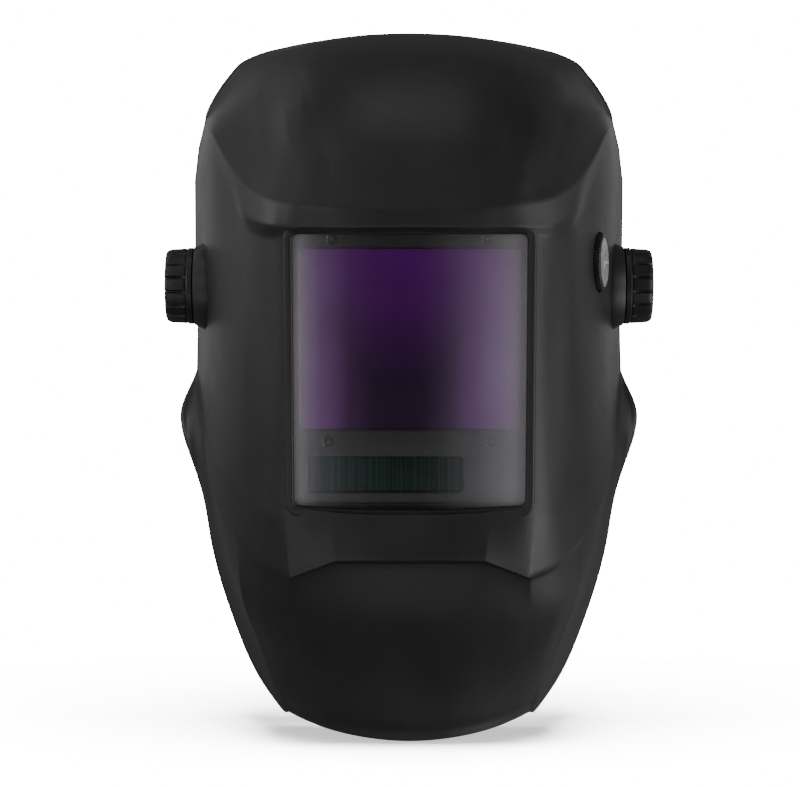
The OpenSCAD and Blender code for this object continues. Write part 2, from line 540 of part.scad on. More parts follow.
// The crown straps are arches in planes parallel to XZ, and one lies over the other at the top
crown_y = [2, 18];
crown_z = 2;
crown_a = 77.2;
crown_top = 84;
function arch(a0, a1, lift, t) = concat(
    [for (k = [0:16]) let (a = a0 + (a1 - a0) * k / 16)
        [(crown_a + lift) * sin(a), crown_z + (crown_top + lift) * cos(a)]],
    [for (k = [16:-1:0]) let (a = a0 + (a1 - a0) * k / 16)
        [(crown_a + lift + t) * sin(a), crown_z + (crown_top + lift + t) * cos(a)]]);
module crown_strap(side, lift) color(BLACK) on_side(side) difference() {
    translate([0, crown_y[1], 0]) rotate([90, 0, 0])
        linear_extrude(crown_y[1] - crown_y[0]) polygon(arch(-22, 98, lift, 1.4));
    for (a = [-16:8:16]) rotate([0, a, 0]) translate([0, rivet_at[0], 60]) cylinder(r = 2, h = 60);
    translate([60, rivet_at[0], rivet_at[1]]) rotate([0, 90, 0]) cylinder(r = 2 + run, h = 40);
}
module harness_rivets() color(DARK) {
    for (s = [-1, 1]) on_side(s) {
        translate([75.2, rivet_at[0], rivet_at[1]]) rotate([0, 90, 0]) {
            cylinder(r = 2, h = 9.8);
            cylinder(r = 3.8, h = 1.6);
        }
        translate([84.4, rivet_at[0], rivet_at[1]]) rotate([0, 90, 0]) cylinder(r = 3.8, h = 0.9);
        web_rivet(75.9, 2, 8);
        web_rivet(75.9, 3.4, 1.2);
        web_rivet(83.4, 3.4, 1);
    }
    for (a = [-8, 8]) rotate([0, a, 0]) translate([0, rivet_at[0], crown_top + 0.3]) {
        cylinder(r = 1.9, h = 5.5);
        cylinder(r = 3.4, h = 1);
        translate([0, 0, 5.2]) cylinder(r = 3.4, h = 1);
    }
}
function bezier(a, b, c, t) = a * (1 - t)^2 + b * 2 * t * (1 - t) + c * t^2;
web_start = on_band(web_from - 4.5, 3);
web_end = [rack_end + 0.8, (y_racks[0] + y_racks[1]) / 2];
function web_side(off) = [for (k = [0:14]) let (t = k / 14,
    p = bezier(web_start, [76, 84], web_end, t),
    d = unit(bezier(web_start, [76, 84], web_end, min(1, t + 0.02))
        - bezier(web_start, [76, 84], web_end, max(0, t - 0.02))))
    p + off * [d[1], -d[0]]];
function backwards(p) = [for (i = [len(p) - 1:-1:0]) p[i]];
module nape_strap(side) color(BLACK) difference() {
    band_frame() on_side(side) translate([0, 0, -strap_h / 2]) linear_extrude(strap_h)
        polygon(concat(web_side(-0.7), backwards(web_side(0.7))));
    on_side(side) web_rivet(60, 2 + run, 40);
}
// Racks and pinion: an involute pinion between two straight racks
module_mm = 2 * pinion_r / pinion_teeth;
pitch = PI * module_mm;
base_r = pinion_r * cos(20);
tip_r = pinion_r + 0.8 * module_mm;
root_r = pinion_r - 1.15 * module_mm;
function roll_at(r) = sqrt(max(0, (r / base_r)^2 - 1)) * 180 / PI;
function flank(r) = roll_at(r) - atan(roll_at(r) * PI / 180);
half_tooth = 90 / pinion_teeth + flank(pinion_r) - 1.6;
function polar(r, a) = [r * cos(a), r * sin(a)];
function tooth(a) = let (rs = [for (k = [0:4]) base_r + (tip_r - base_r) * k / 4]) concat(
    [polar(root_r, a - half_tooth)],
    [for (r = rs) polar(r, a - half_tooth + flank(r))],
    [for (r = backwards(rs)) polar(r, a + half_tooth - flank(r))],
    [polar(root_r, a + half_tooth)]);
module ratchet_pinion() color(DARK) band_frame() {
    translate([0, y_racks[1] + 0.4, 0]) rotate([90, 0, 0]) linear_extrude(y_racks[1] - y_racks[0] + 0.8)
        polygon([for (k = [0:pinion_teeth - 1]) each tooth(90 + 360 * k / pinion_teeth)]);
    disc(3.2, [y_racks[1] + 0.3, y_turn[0] + 3]);
}
// A rack's teeth hang from z = pinion_r towards the pinion, with a gap over the pinion's top tooth
function rack_edge(x0, x1) = [for (k = [ceil(x0 / pitch):floor(x1 / pitch) - 1])
    each [[k * pitch + 0.9, pinion_r + 0.95 * module_mm], [k * pitch + 1.4, pinion_r - 0.55 * module_mm],
        [k * pitch + pitch - 1.4, pinion_r - 0.55 * module_mm],
        [k * pitch + pitch - 0.9, pinion_r + 0.95 * module_mm]]];
module rack_strap(side) color(BLACK) band_frame() mirror([side > 0 ? 1 : 0, 0, 0])
    mirror([0, 0, side > 0 ? 0 : 1])
    translate([0, side > 0 ? y_racks[0] + 1.5 : y_racks[1], 0]) rotate([90, 0, 0])
        linear_extrude(1.5) difference() {
            translate([-rack_end, -strap_h / 2]) square([rack_end + 24, strap_h]);
            polygon(concat([[-23, -pinion_r - 1.6], [-23, pinion_r + 1.14]], rack_edge(-22, 22),
                [[22, pinion_r + 1.14], [22, -pinion_r - 1.6]]));
        }
module ratchet_case() color(BLACK) band_frame() difference() {
    pane(64, 30, y_ratchet, 8);
    slab(80, strap_h + 0.8, [y_racks[0] - 0.5, y_racks[1] + 0.6]);
    slab(50, 20, [y_ratchet[0] - 1, y_racks[0]]);
    disc(3.2 + run, [90, 130]);
    for (i = [-1, 1], j = [-1, 1]) disc(1.1, [100, 111], i * 27, j * 11.5);
}
module ratchet_cover() color(DARK) band_frame() difference() {
    pane(64, 30, y_cover_plate, 8);
    for (i = [-1, 1], j = [-1, 1]) disc(1.6, [100, 111], i * 27, j * 11.5);
}
module nape_pad() color(DARK) band_frame() pane(72, 36, y_pad, 9);
module ratchet_knob() color(BLACK) band_frame() difference() {
    union() {
        disc(ratchet_r, [y_turn[0], y_turn[1] - 3]);
        disc(ratchet_r - 2.5, [y_turn[1] - 3.1, y_turn[1]]);
    }
    disc(3.2, [100, y_turn[0] + 3]);
    for (a = [0:30:359]) rotate([0, a, 0]) disc(2.2, [100, 130], ratchet_r + 0.8);
    disc(12, [y_turn[1] - 2, y_turn[1] + 2]);
}

helmet_shell();
front_cover_lens();
cover_lens_gasket();
filter_case_front();
filter_case_rear();
filter_case_screws();
interference_filter();
lcd_shutter_front();
lcd_shutter_rear();
polariser_film();
solar_cell();
arc_sensors();
circuit_board();
inner_cover_lens();
filter_retainer();
latch_screws();
battery_contacts();
shade_potentiometer();
shade_lock_nut();
shade_cable();
shade_knob();
shade_knob_face();
shade_shaft();
control_knob(control_x[0]);  // sensitivity_knob
control_knob(control_x[1]);  // delay_knob
test_button();
test_button_spring();
battery_drawer();
coin_cell();
filter_latch(1);  // filter_latch_left
filter_latch(-1);  // filter_latch_right
slider_block(1);  // slider_block_left
slider_block(-1);  // slider_block_right
pivot_bolt(1);  // pivot_bolt_left
pivot_bolt(-1);  // pivot_bolt_right
tilt_stop(1);  // tilt_stop_left
tilt_stop(-1);  // tilt_stop_right
inner_washer(1);  // inner_washer_left
inner_washer(-1);  // inner_washer_right
outer_washer(1);  // outer_washer_left
outer_washer(-1);  // outer_washer_right
tension_knob(1);  // tension_knob_left
tension_knob(-1);  // tension_knob_right
headband();
sweatband();
crown_strap(1, 0);  // crown_strap_left
crown_strap(-1, 1.6);  // crown_strap_right
slide_rail(1);  // slide_rail_left
slide_rail(-1);  // slide_rail_right
harness_rivets();
nape_strap(1);  // nape_strap_left
nape_strap(-1);  // nape_strap_right
ratchet_case();
ratchet_cover();
nape_pad();
rack_strap(1);  // rack_strap_left
rack_strap(-1);  // rack_strap_right
ratchet_knob();
ratchet_pinion();
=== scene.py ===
"""Welding helmet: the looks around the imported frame. Lengths are written in mm and scaled once."""
import json
import math

import bmesh
import bpy
import numpy as np
from mathutils import Matrix, Vector
from mathutils.bvhtree import BVHTree

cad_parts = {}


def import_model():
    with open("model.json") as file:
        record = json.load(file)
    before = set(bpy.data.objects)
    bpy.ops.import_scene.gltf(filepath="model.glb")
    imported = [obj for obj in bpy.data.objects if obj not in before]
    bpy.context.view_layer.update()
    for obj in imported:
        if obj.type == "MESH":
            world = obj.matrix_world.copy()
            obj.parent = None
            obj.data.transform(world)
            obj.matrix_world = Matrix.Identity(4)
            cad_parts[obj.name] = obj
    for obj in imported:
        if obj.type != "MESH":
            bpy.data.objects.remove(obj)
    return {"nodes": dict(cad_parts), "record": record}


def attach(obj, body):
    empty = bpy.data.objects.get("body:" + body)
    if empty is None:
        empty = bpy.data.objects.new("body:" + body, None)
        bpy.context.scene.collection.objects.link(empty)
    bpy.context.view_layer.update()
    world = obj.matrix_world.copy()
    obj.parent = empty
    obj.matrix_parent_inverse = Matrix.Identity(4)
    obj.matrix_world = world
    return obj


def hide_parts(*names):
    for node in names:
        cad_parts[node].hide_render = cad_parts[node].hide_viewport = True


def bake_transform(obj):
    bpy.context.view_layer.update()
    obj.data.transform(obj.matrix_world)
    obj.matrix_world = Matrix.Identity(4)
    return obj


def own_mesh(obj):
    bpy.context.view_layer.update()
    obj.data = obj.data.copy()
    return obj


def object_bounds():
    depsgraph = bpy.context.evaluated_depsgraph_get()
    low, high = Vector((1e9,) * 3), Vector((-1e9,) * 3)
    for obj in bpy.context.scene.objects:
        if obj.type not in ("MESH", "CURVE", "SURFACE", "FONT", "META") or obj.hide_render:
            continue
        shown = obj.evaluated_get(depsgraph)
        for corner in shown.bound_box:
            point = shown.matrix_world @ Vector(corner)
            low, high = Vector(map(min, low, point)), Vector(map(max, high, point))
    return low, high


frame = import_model()
cad_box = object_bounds()
MM = 0.001
TURN = 2 * math.pi
rad = math.radians


# ---------- frames, in mm ----------
def turned(axis, degrees, at=(0, 0, 0)):
    return Matrix.Translation(at) @ Matrix.Rotation(rad(degrees), 4, axis)


# The whole part; the cover lens, its depth along Y; the headband; and the shade knob, its axis along Z
ROW = Matrix.Identity(4)
LENS = turned("X", 11, (0, -130, -44.5))
BAND = turned("X", -18)
SHADE = turned("Z", -13.5, (90.3, -64, 9)) @ Matrix.Rotation(rad(90), 4, "Y")


# ---------- meshes ----------
def new_object(name, verts, faces, at=ROW, smooth=35):
    """A mesh object with its vertices in the row frame, in metres, from points in mm."""
    mesh = bpy.data.meshes.new(name)
    points = [tuple((at @ Vector(v)) * MM) for v in verts]
    mesh.from_pydata(points, [], [tuple(int(i) for i in f) for f in faces])
    mesh.validate()
    obj = bpy.data.objects.new(name, mesh)
    bpy.context.scene.collection.objects.link(obj)
    outward(mesh)
    shade(mesh, smooth)
    return obj


def outward(mesh):
    bm = bmesh.new()
    bm.from_mesh(mesh)
    bmesh.ops.recalc_face_normals(bm, faces=bm.faces)
    bm.to_mesh(mesh)
    bm.free()


def shade(mesh, angle):
    mesh.shade_smooth()
    if angle is not None:
        mesh.set_sharp_from_angle(angle=rad(angle))


def applied(obj, smooth=35):
    """Modifiers made into mesh."""
    dg = bpy.context.evaluated_depsgraph_get()
    mesh = bpy.data.meshes.new_from_object(obj.evaluated_get(dg))
    obj.modifiers.clear()
    old = obj.data
    obj.data = mesh
    bpy.data.meshes.remove(old)
    shade(mesh, smooth)
    return obj


def loft(rings, closed=False, caps=True):
    """Vertices and faces through rings of equal length; closed joins the last ring to the first."""
    n = len(rings[0])
    verts = [p for r in rings for p in r]
    faces = []
    count = len(rings)
    for k in range(count if closed else count - 1):
        a, b = k * n, (k + 1) % count * n
        faces += [(a + i, a + (i + 1) % n, b + (i + 1) % n, b + i) for i in range(n)]
    if caps and not closed:
        faces += [tuple(range(n))[::-1], tuple(range((count - 1) * n, count * n))]
    return verts, faces


def rounded(w, h, r, x=0, z=0, per=8):
    """A rectangle with round corners as (x, z) points, anticlockwise."""
    out = []
    r = max(r, 0.05)
    for cx, cz, a0 in ((1, 1, 0), (-1, 1, 90), (-1, -1, 180), (1, -1, 270)):
        for k in range(per + 1):
            a = rad(a0 + 90 * k / per)
            out.append((x + cx * (w / 2 - r) + r * math.cos(a),
                        z + cz * (h / 2 - r) + r * math.sin(a)))
    return out


def pane(w, h, r, profile, x=0, z=0):
    """Rings of a rounded rectangle: profile is (inset, depth) pairs."""
    return [[(px, d, pz) for px, pz in rounded(w - 2 * i, h - 2 * i, max(r - i, 0.1), x, z)]
            for i, d in profile]


def plate(w, h, r, y0, y1, bevel=0.3, x=0, z=0):
    """A closed pane with bevelled edges."""
    b, part = bevel, bevel * 0.3
    profile = [(b, y0), (part, y0 + part), (0, y0 + b), (0, y1 - b), (part, y1 - part), (b, y1)]
    return loft(pane(w, h, r, profile, x, z))


def lathe(profile, n=64, radius=lambda a, r, h: r):
    """A turned solid about local Z from (r, h) pairs, whose radius may vary with the angle."""
    return loft(turned_rings(profile, n, radius))


def turned_rings(profile, n, radius):
    return [[(radius(t, r, h) * math.cos(t), radius(t, r, h) * math.sin(t), h)
             for t in (TURN * k / n for k in range(n))] for r, h in profile]


def joined(shapes):
    """Several (vertices, faces) pairs as one."""
    verts, faces = [], []
    for v, f in shapes:
        start = len(verts)
        verts += v
        faces += [tuple(i + start for i in face) for face in f]
    return verts, faces


def boolean(obj, other, operation):
    mod = obj.modifiers.new("cut", "BOOLEAN")
    mod.operation = operation
    mod.solver = "MANIFOLD"
    mod.object = other
    applied(obj, None)
    bpy.data.objects.remove(other)


# ---------- materials ----------
class Nodes:
    """Short calls for building a material's nodes."""

    def __init__(self, name):
        self.material = bpy.data.materials.new(name)
        self.material.use_nodes = True
        self.tree = self.material.node_tree
        self.bsdf = self.tree.nodes["Principled BSDF"]
        self.place = self.add("ShaderNodeTexCoord").outputs["Object"]

    def add(self, kind, **values):
        node = self.tree.nodes.new(kind)
        for k, v in values.items():
            if k in node.inputs:
                self.put(node.inputs[k], v)
            else:
                setattr(node, k, v)
        return node

    def put(self, socket, value):
        if isinstance(value, bpy.types.NodeSocket):
            self.tree.links.new(value, socket)
        else:
            socket.default_value = value

    def noise(self, scale, detail=3.0, rough=0.55, at=None):
        node = self.add("ShaderNodeTexNoise", Scale=scale, Detail=detail, Roughness=rough)
        self.put(node.inputs["Vector"], at or self.place)
        return node.outputs["Fac"]

    def ramp(self, value, *stops):
        node = self.add("ShaderNodeValToRGB")
        self.put(node.inputs["Fac"], value)
        e = node.color_ramp.elements
        while len(e) < len(stops):
            e.new(0.5)
        for k, (at, colour) in enumerate(stops):
            e[k].position = at
            e[k].color = (*colour, 1) if hasattr(colour, "__len__") else (colour, colour, colour, 1)
        return node.outputs["Color"]

    def maths(self, operation, a, b=0.0, c=None):
        node = self.add("ShaderNodeMath", operation=operation)
        self.put(node.inputs[0], a)
        self.put(node.inputs[1], b)
        if c is not None:
            self.put(node.inputs[2], c)
        return node.outputs[0]

    def span(self, value, a, b, lo, hi):
        node = self.add("ShaderNodeMapRange")
        for k, v in zip(("Value", "From Min", "From Max", "To Min", "To Max"), (value, a, b, lo, hi)):
            self.put(node.inputs[k], v)
        return node.outputs[0]

    def mix(self, fac, a, b, blend="MIX"):
        node = self.add("ShaderNodeMix", data_type="RGBA", blend_type=blend)
        self.put(node.inputs[0], fac)
        for k, v in ((6, a), (7, b)):
            self.put(node.inputs[k], (*v, 1) if isinstance(v, tuple) and len(v) == 3 else v)
        return node.outputs[2]

    def axes(self, at=None):
        node = self.add("ShaderNodeSeparateXYZ")
        self.put(node.inputs[0], at or self.place)
        return node.outputs

    def bump(self, height, strength, distance, before=None):
        node = self.add("ShaderNodeBump", Strength=strength, Distance=distance)
        self.put(node.inputs["Height"], height)
        if before is not None:
            self.put(node.inputs["Normal"], before)
        return node.outputs["Normal"]

    def finish(self, **sockets):
        for k, v in sockets.items():
            name = k.replace("_", " ")
            name = {"Coat": "Coat Weight", "Sheen": "Sheen Weight", "Transmission": "Transmission Weight",
                    "Specular": "Specular IOR Level"}.get(name, name)
            if isinstance(v, tuple) and len(v) == 3:
                v = (*v, 1)
            self.put(self.bsdf.inputs[name], v)
        return self.material


def moulded(name, base, rough, grain=0.15, scale=1400, vary=0.18, wear=0.25, **more):
    """Moulded plastic: fine spark-eroded grain, faint colour drift and paler worn edges."""
    n = Nodes(name)
    drift = n.noise(35, 4)
    dark, pale = [tuple(c * k for c in base) for k in (1 - vary, 1 + vary)]
    colour = n.mix(n.span(drift, 0.3, 0.7, 0, 1), dark, pale)
    point = n.add("ShaderNodeNewGeometry").outputs["Pointiness"]
    edge = n.span(point, 0.52, 0.62, 0, wear)
    colour = n.mix(edge, colour, tuple(min(1, c * 2.5 + 0.02) for c in base))
    fine = n.noise(scale, 2, 0.6)
    smudge = n.noise(18, 5, 0.7)
    roughness = n.maths("ADD", n.span(smudge, 0.25, 0.75, rough - 0.05, rough + 0.05),
                        n.maths("MULTIPLY", fine, 0.04))
    normal = n.bump(fine, grain, 0.0002)
    return n.finish(Base_Color=colour, Roughness=roughness, Normal=normal, **more)


# ---------- shell surface ----------
# Feature lines of the left half, each from the middle plane to the rear edge.
# A point is [u, x, y, z], and a fifth entry marks a sharp corner in the line.
LINES = [    # top rim
    [[0, 0, -16, 127], [0.15, 22, -16, 126.2], [0.3, 42, -15, 123.9], [0.45, 61.5, -12, 120.8],
     [0.55, 76.6, -8, 117.4], [0.62, 85.6, -3, 113.8], [0.7, 92, 3, 108], [0.84, 100, 9.5, 98],
     [0.93, 103.6, 13, 92], [1, 105, 15.5, 89]],
    # upper dome
    [[0, 0, -62, 119], [0.3, 38, -59, 117], [0.45, 56, -53, 113.5], [0.55, 67, -46, 110],
     [0.62, 75, -38, 106.5], [0.7, 83, -27, 102.5], [0.84, 96, -5, 93.5], [1, 105.2, 16, 88]],
    # middle dome
    [[0, 0, -108, 99], [0.3, 36, -105, 97.5], [0.45, 52, -98, 95.5], [0.55, 62, -89, 93],
     [0.62, 70, -79, 91], [0.7, 79, -62, 89.5], [0.84, 94, -24, 88], [1, 105.4, 16.5, 87]],
    # lower dome
    [[0, 0, -141, 64], [0.3, 35, -138, 64.5], [0.45, 52, -130, 66], [0.55, 63, -119, 68],
     [0.62, 71, -106, 70.5], [0.7, 80, -86, 75], [0.84, 95, -40, 82], [1, 105.6, 17, 86]],
    # brow edge
    [[0, 0, -157, 27.5], [0.15, 20, -156.5, 28], [0.3, 38, -154, 29.5], [0.45, 56, -147, 32],
     [0.55, 68, -136, 36], [0.62, 77, -121, 42], [0.7, 85.5, -98, 53], [0.84, 97, -52, 73],
     [1, 105.8, 17.5, 85]],
    # foot of the brow lip
    [[0, 0, -156, 20.5], [0.3, 38, -153, 20.5], [0.45, 57, -146.5, 21.5], [0.55, 68.5, -137, 23.5],
     [0.62, 77, -121, 28.5], [0.7, 84, -96, 40], [0.84, 97.5, -50, 60], [1, 109.5, 26, 73]],
    # under the brow
    [[0, 0, -144, 17.5], [0.3, 38, -144, 17.5], [0.45, 58, -143, 17.5], [0.55, 69, -131.5, 18],
     [0.62, 76, -118, 22], [0.7, 83.5, -95, 33], [0.84, 97.5, -48, 50], [1, 112, 33, 56]],
    # upper cheek
    [[0, 0, -137, -15], [0.3, 38, -137, -15], [0.45, 58, -136.5, -15], [0.55, 68, -126, -15],
     [0.62, 76, -115, -14], [0.7, 83, -96, -12], [0.84, 96.5, -48, -4], [1, 111.9, 38, 14]],
    # lower cheek
    [[0, 0, -126, -75], [0.3, 38, -126, -75], [0.45, 58, -125, -75], [0.55, 68, -116, -75],
     [0.62, 76.5, -105, -74], [0.7, 84, -89, -70], [0.84, 96.5, -43, -56], [1, 110.8, 37, -18]],
    # below the lens sill
    [[0, 0, -121.5, -113], [0.3, 38, -121, -113], [0.45, 58.5, -117.5, -112.5],
     [0.55, 68.5, -109, -111], [0.62, 77, -98, -106], [0.7, 86, -82, -98],
     [0.84, 99, -36, -80], [1, 110.9, 36, -30]],
    # jaw edge
    [[0, 0, -124, -133], [0.15, 18, -123.5, -133], [0.3, 35, -121, -133.3, 1],
     [0.45, 56.5, -112, -142, 1], [0.55, 72, -97.5, -135.5], [0.64, 84, -81, -124.5],
     [0.7, 89, -68, -117.5], [0.78, 95, -49, -109], [0.86, 101, -25, -94.5],
     [0.93, 105.2, 0, -75], [1, 111, 35, -38]],
    # under the jaw
    [[0, 0, -112, -135], [0.15, 18, -111.5, -135], [0.3, 36, -110, -135.3, 1],
     [0.45, 57, -102.5, -143.5, 1], [0.55, 71, -91, -137.5], [0.64, 82.5, -77, -126.5],
     [0.7, 87.5, -65, -119], [0.78, 94, -47, -110], [0.86, 100.4, -24, -95.5],
     [0.93, 104.8, 1, -76], [1, 111, 35.2, -39.5]],
    # upper chin
    [[0, 0, -102.5, -160], [0.15, 19, -102, -160], [0.3, 38, -98.5, -160], [0.45, 58, -91, -158.5],
     [0.55, 72, -81, -155], [0.64, 82, -71, -149.5, 1], [0.7, 87, -54, -140],
     [0.78, 93.3, -34, -125], [0.86, 99.5, -14, -105], [0.93, 106.5, 8, -80], [1, 111.1, 35.4, -41]],
    # lower chin
    [[0, 0, -82, -191], [0.15, 19, -81, -191], [0.3, 37, -76, -190], [0.45, 54, -66.5, -188],
     [0.55, 65, -57, -185.5], [0.64, 73, -47.5, -182, 1], [0.7, 81.5, -31, -170],
     [0.78, 91.2, -15, -148], [0.86, 100.5, 0, -119], [0.93, 110.5, 17, -79], [1, 111.2, 35.6, -42.5]],
    # chin rim
    [[0, 0, -68, -224], [0.15, 18, -66, -223], [0.3, 36, -58, -220.4], [0.45, 51.5, -44, -216.6],
     [0.55, 59.5, -34, -214], [0.64, 65, -26, -212], [0.7, 76.8, -11, -197.5],
     [0.78, 89.8, 2, -170.5], [0.86, 101.4, 13, -135], [0.91, 108.2, 21.5, -103],
     [0.945, 118.2, 27, -74], [0.96, 119.2, 29, -66], [1, 111.6, 35.8, -44]],
]
# Which lines are creases, how many rows each strip between two lines has, the point the wall
# is measured towards (its y, and its share of the height), and the wall
CREASE = [1, 0, 0, 0, 1, 1, 1, 0, 0, 1, 1, 1, 0, 0, 1]
STRIPS = [24, 25, 25, 22, 7, 7, 17, 30, 19, 11, 7, 14, 19, 19]
CORE = (20, 0.55)
WALL = 2.6


def hermite(a, b, ma, mb, h, t):
    """A cubic from a to b with slopes ma and mb, over a length h, at share t."""
    return (a * (2 * t**3 - 3 * t**2 + 1) + b * (3 * t**2 - 2 * t**3)
            + ma * h * (t**3 - 2 * t**2 + t) + mb * h * (t**3 - t**2))


def slope(p, s, i, side, sharp):
    """Slope at point i; a sharp point takes that of the chord on the given side."""
    def chord(k):
        return (p[k + 1] - p[k]) / (s[k + 1] - s[k])

    if i == 0 or i == len(p) - 1:
        return chord(0 if i == 0 else i - 1)
    if sharp:
        return chord(i - 1 if side < 0 else i)
    a, b = s[i] - s[i - 1], s[i + 1] - s[i]
    return (chord(i - 1) * b + chord(i) * a) / (a + b)


def on_line(line, u):
    """Point of a feature line; it leaves the middle plane square."""
    s = [k[0] for k in line]
    p = [np.array(k[1:4], float) for k in line]
    i = 0
    while i < len(line) - 2 and u >= s[i + 1]:
        i += 1
    start = np.array([p[1][0] / s[1], 0, 0]) if i == 0 else slope(p, s, i, 1, len(line[i]) > 4)
    end = slope(p, s, i + 1, -1, len(line[i + 1]) > 4)
    h = s[i + 1] - s[i]
    return hermite(p[i], p[i + 1], start, end, h, (u - s[i]) / h)


def column(u):
    """Points from the top rim to the chin rim through all feature lines."""
    p = [on_line(line, u) for line in LINES]
    s = np.concatenate([[0], np.cumsum([np.linalg.norm(b - a) for a, b in zip(p, p[1:])])])
    out = []
    for j, n in enumerate(STRIPS):
        ma = slope(p, s, j, 1, CREASE[j])
        mb = slope(p, s, j + 1, -1, CREASE[j + 1])
        out += [hermite(p[j], p[j + 1], ma, mb, s[j + 1] - s[j], k / n) for k in range(n)]
    return out + [p[-1]]


def shell_grid():
    """Outer skin as an array [column, row, xyz], from the wearer's right to left."""
    spread = [np.linspace(0, 0.93, 84), np.linspace(0.93, 1, 13), [0.3, 0.45, 0.55, 0.64]]
    u = sorted(set(np.round(np.concatenate(spread), 5)))
    half = np.array([column(k) for k in u])
    flip = half[:0:-1] * np.array([-1, 1, 1])
    return np.concatenate([flip, half]), np.array([-k for k in u[:0:-1]] + u)


def soften(p, share=0.5):
    """Rounds the creases of a grid; its border stays."""
    q = p.copy()
    mean = (p[2:, 1:-1] + p[:-2, 1:-1] + p[1:-1, 2:] + p[1:-1, :-2]) / 4
    q[1:-1, 1:-1] += share * (mean - p[1:-1, 1:-1])
    return q


def normals(p):
    """Outward directions at the points of a grid."""
    across = np.gradient(p, axis=0)
    down = np.gradient(p, axis=1)
    n = np.cross(down, across)
    return n / np.linalg.norm(n, axis=-1, keepdims=True)


# Width of the lip, and depth of the groove behind it
LIP, GROOVE_DEPTH = 2.0, 0.4
# Fold on the side of the dome: (row, where across it lies, height), and its half width across
RIDGE = [(0, 0.62, 0.0), (24, 0.62, 0.8), (49, 0.585, 1.1), (74, 0.50, 1.3), (84, 0.44, 1.5),
         (90, 0.42, 1.2), (96, 0.40, 0.0)]
RIDGE_HALF = 0.13


def eased(x, a, b):
    """0 below a, 1 above b, smooth between."""
    t = np.clip((x - a) / (b - a), 0, 1)
    return t * t * (3 - 2 * t)


def detailed(p, u):
    """Adds the rolled lip along the border and the folds on the sides of the dome."""
    n = normals(p)
    sign = np.sign(np.sum(n * (p - np.array([0, CORE[0], 0])), axis=-1, keepdims=True))
    n = n * sign
    inland = np.full(p.shape[:2], 1e9)
    for axis in (0, 1):
        steps = np.linalg.norm(np.diff(p, axis=axis), axis=-1)
        from_start = np.insert(np.cumsum(steps, axis=axis), 0, 0, axis=axis)
        to_end = from_start.max(axis=axis, keepdims=True) - from_start
        inland = np.minimum(inland, np.minimum(from_start, to_end))
    sink = GROOVE_DEPTH * eased(inland, LIP, LIP + 1.6) * (1 - eased(inland, LIP + 2, LIP + 9))
    row, across, height = zip(*RIDGE)
    at, high = [np.interp(np.arange(p.shape[1]), row, k) for k in (across, height)]
    tent = np.maximum(0, 1 - np.abs(np.abs(u)[:, None] - at) / RIDGE_HALF) * high
    return p + n * (tent - sink)[..., None]


def shell_skin():
    """The shell before its openings: outer and inner skins closed along the border."""
    grid, u = shell_grid()
    outer = detailed(soften(grid), u)
    nc, nr = outer.shape[:2]
    core = np.stack([np.zeros((nc, nr)), np.full((nc, nr), CORE[0]), CORE[1] * outer[..., 2]], -1)
    aim = core - outer
    inner = outer + WALL * aim / np.linalg.norm(aim, axis=-1, keepdims=True)
    verts = np.concatenate([outer.reshape(-1, 3), inner.reshape(-1, 3)])
    o = nc * nr
    faces = []
    for c in range(nc - 1):
        for r in range(nr - 1):
            a = c * nr + r
            faces.append((a, a + nr, a + nr + 1, a + 1))
            faces.append((o + a, o + a + 1, o + a + nr + 1, o + a + nr))
        for a in (c * nr, c * nr + nr - 1):
            faces.append((a, a + nr, o + a + nr, o + a))
    for r in range(nr - 1):
        for a in (r, (nc - 1) * nr + r):
            faces.append((a, a + 1, o + a + 1, o + a))
    return new_object("shell", verts, faces, smooth=None)


def solid(shape, at=ROW):
    """A throwaway object for a boolean."""
    return new_object("tool", *shape, at=at, smooth=None)


def block(w, h, r, y0, y1, x=0, z=0, per=8):
    return loft([[(px, d, pz) for px, pz in rounded(w, h, r, x, z, per)] for d in (y0, y1)])


def drum(r, h0, h1, n=64):
    return lathe([(r, h0), (r, h1)], n)


def side_axis(side):
    """Local Z along the tilt axis, outwards on that side."""
    return Matrix.Rotation(rad(90 * side), 4, "Y")


def bore(x, z):
    """Local Z along the lens depth, at a point of the lens plane."""
    return LENS @ Matrix.Translation((x, 0, z)) @ Matrix.Rotation(rad(-90), 4, "X")


# View opening with the bow of its lower edge, cartridge bay, latch pillars, and radii of the
# washer seat, the knobs and the pivot bolt's shoulder
VIEW_W, VIEW_H, VIEW_DIP = 108, 128, 1.8
BAY_W, BAY_H = 114.6, 133.6
LATCH_X, LATCH_Z = 40, BAY_H / 2 + 4.5
SEAT_R, KNOB_R, SHADE_R, SHOULDER_R = 19, 19.5, 14.3, 5.05
# Along the tilt axis: the boss from its root to its face, and the floor of the inner seat
BOSS_ROOT, BOSS_FACE, SEAT_FLOOR = 98.5, 109.2, 103.2


def dipped(points, dip=VIEW_DIP, half=50):
    """The lower edge of an outline bows down towards its middle."""
    return [(x, z - dip * max(0.0, 1 - (x / half) ** 2) if z < 0 else z) for x, z in points]


def view_rings(profile, w=VIEW_W, h=VIEW_H, r=3.0):
    """Rings of the view opening; profile is (growth, depth) pairs."""
    rings = []
    for grow, depth in profile:
        base = rounded(w + 2 * grow, h + 2 * grow, r + grow)
        fine = []
        for (x0, z0), (x1, z1) in zip(base, base[1:] + base[:1]):
            steps = 24 if abs(x1 - x0) > 40 else 1
            fine += [(x0 + (x1 - x0) * k / steps, z0 + (z1 - z0) * k / steps)
                     for k in range(steps)]
        rings.append([(x, depth, z) for x, z in dipped(fine)])
    return rings


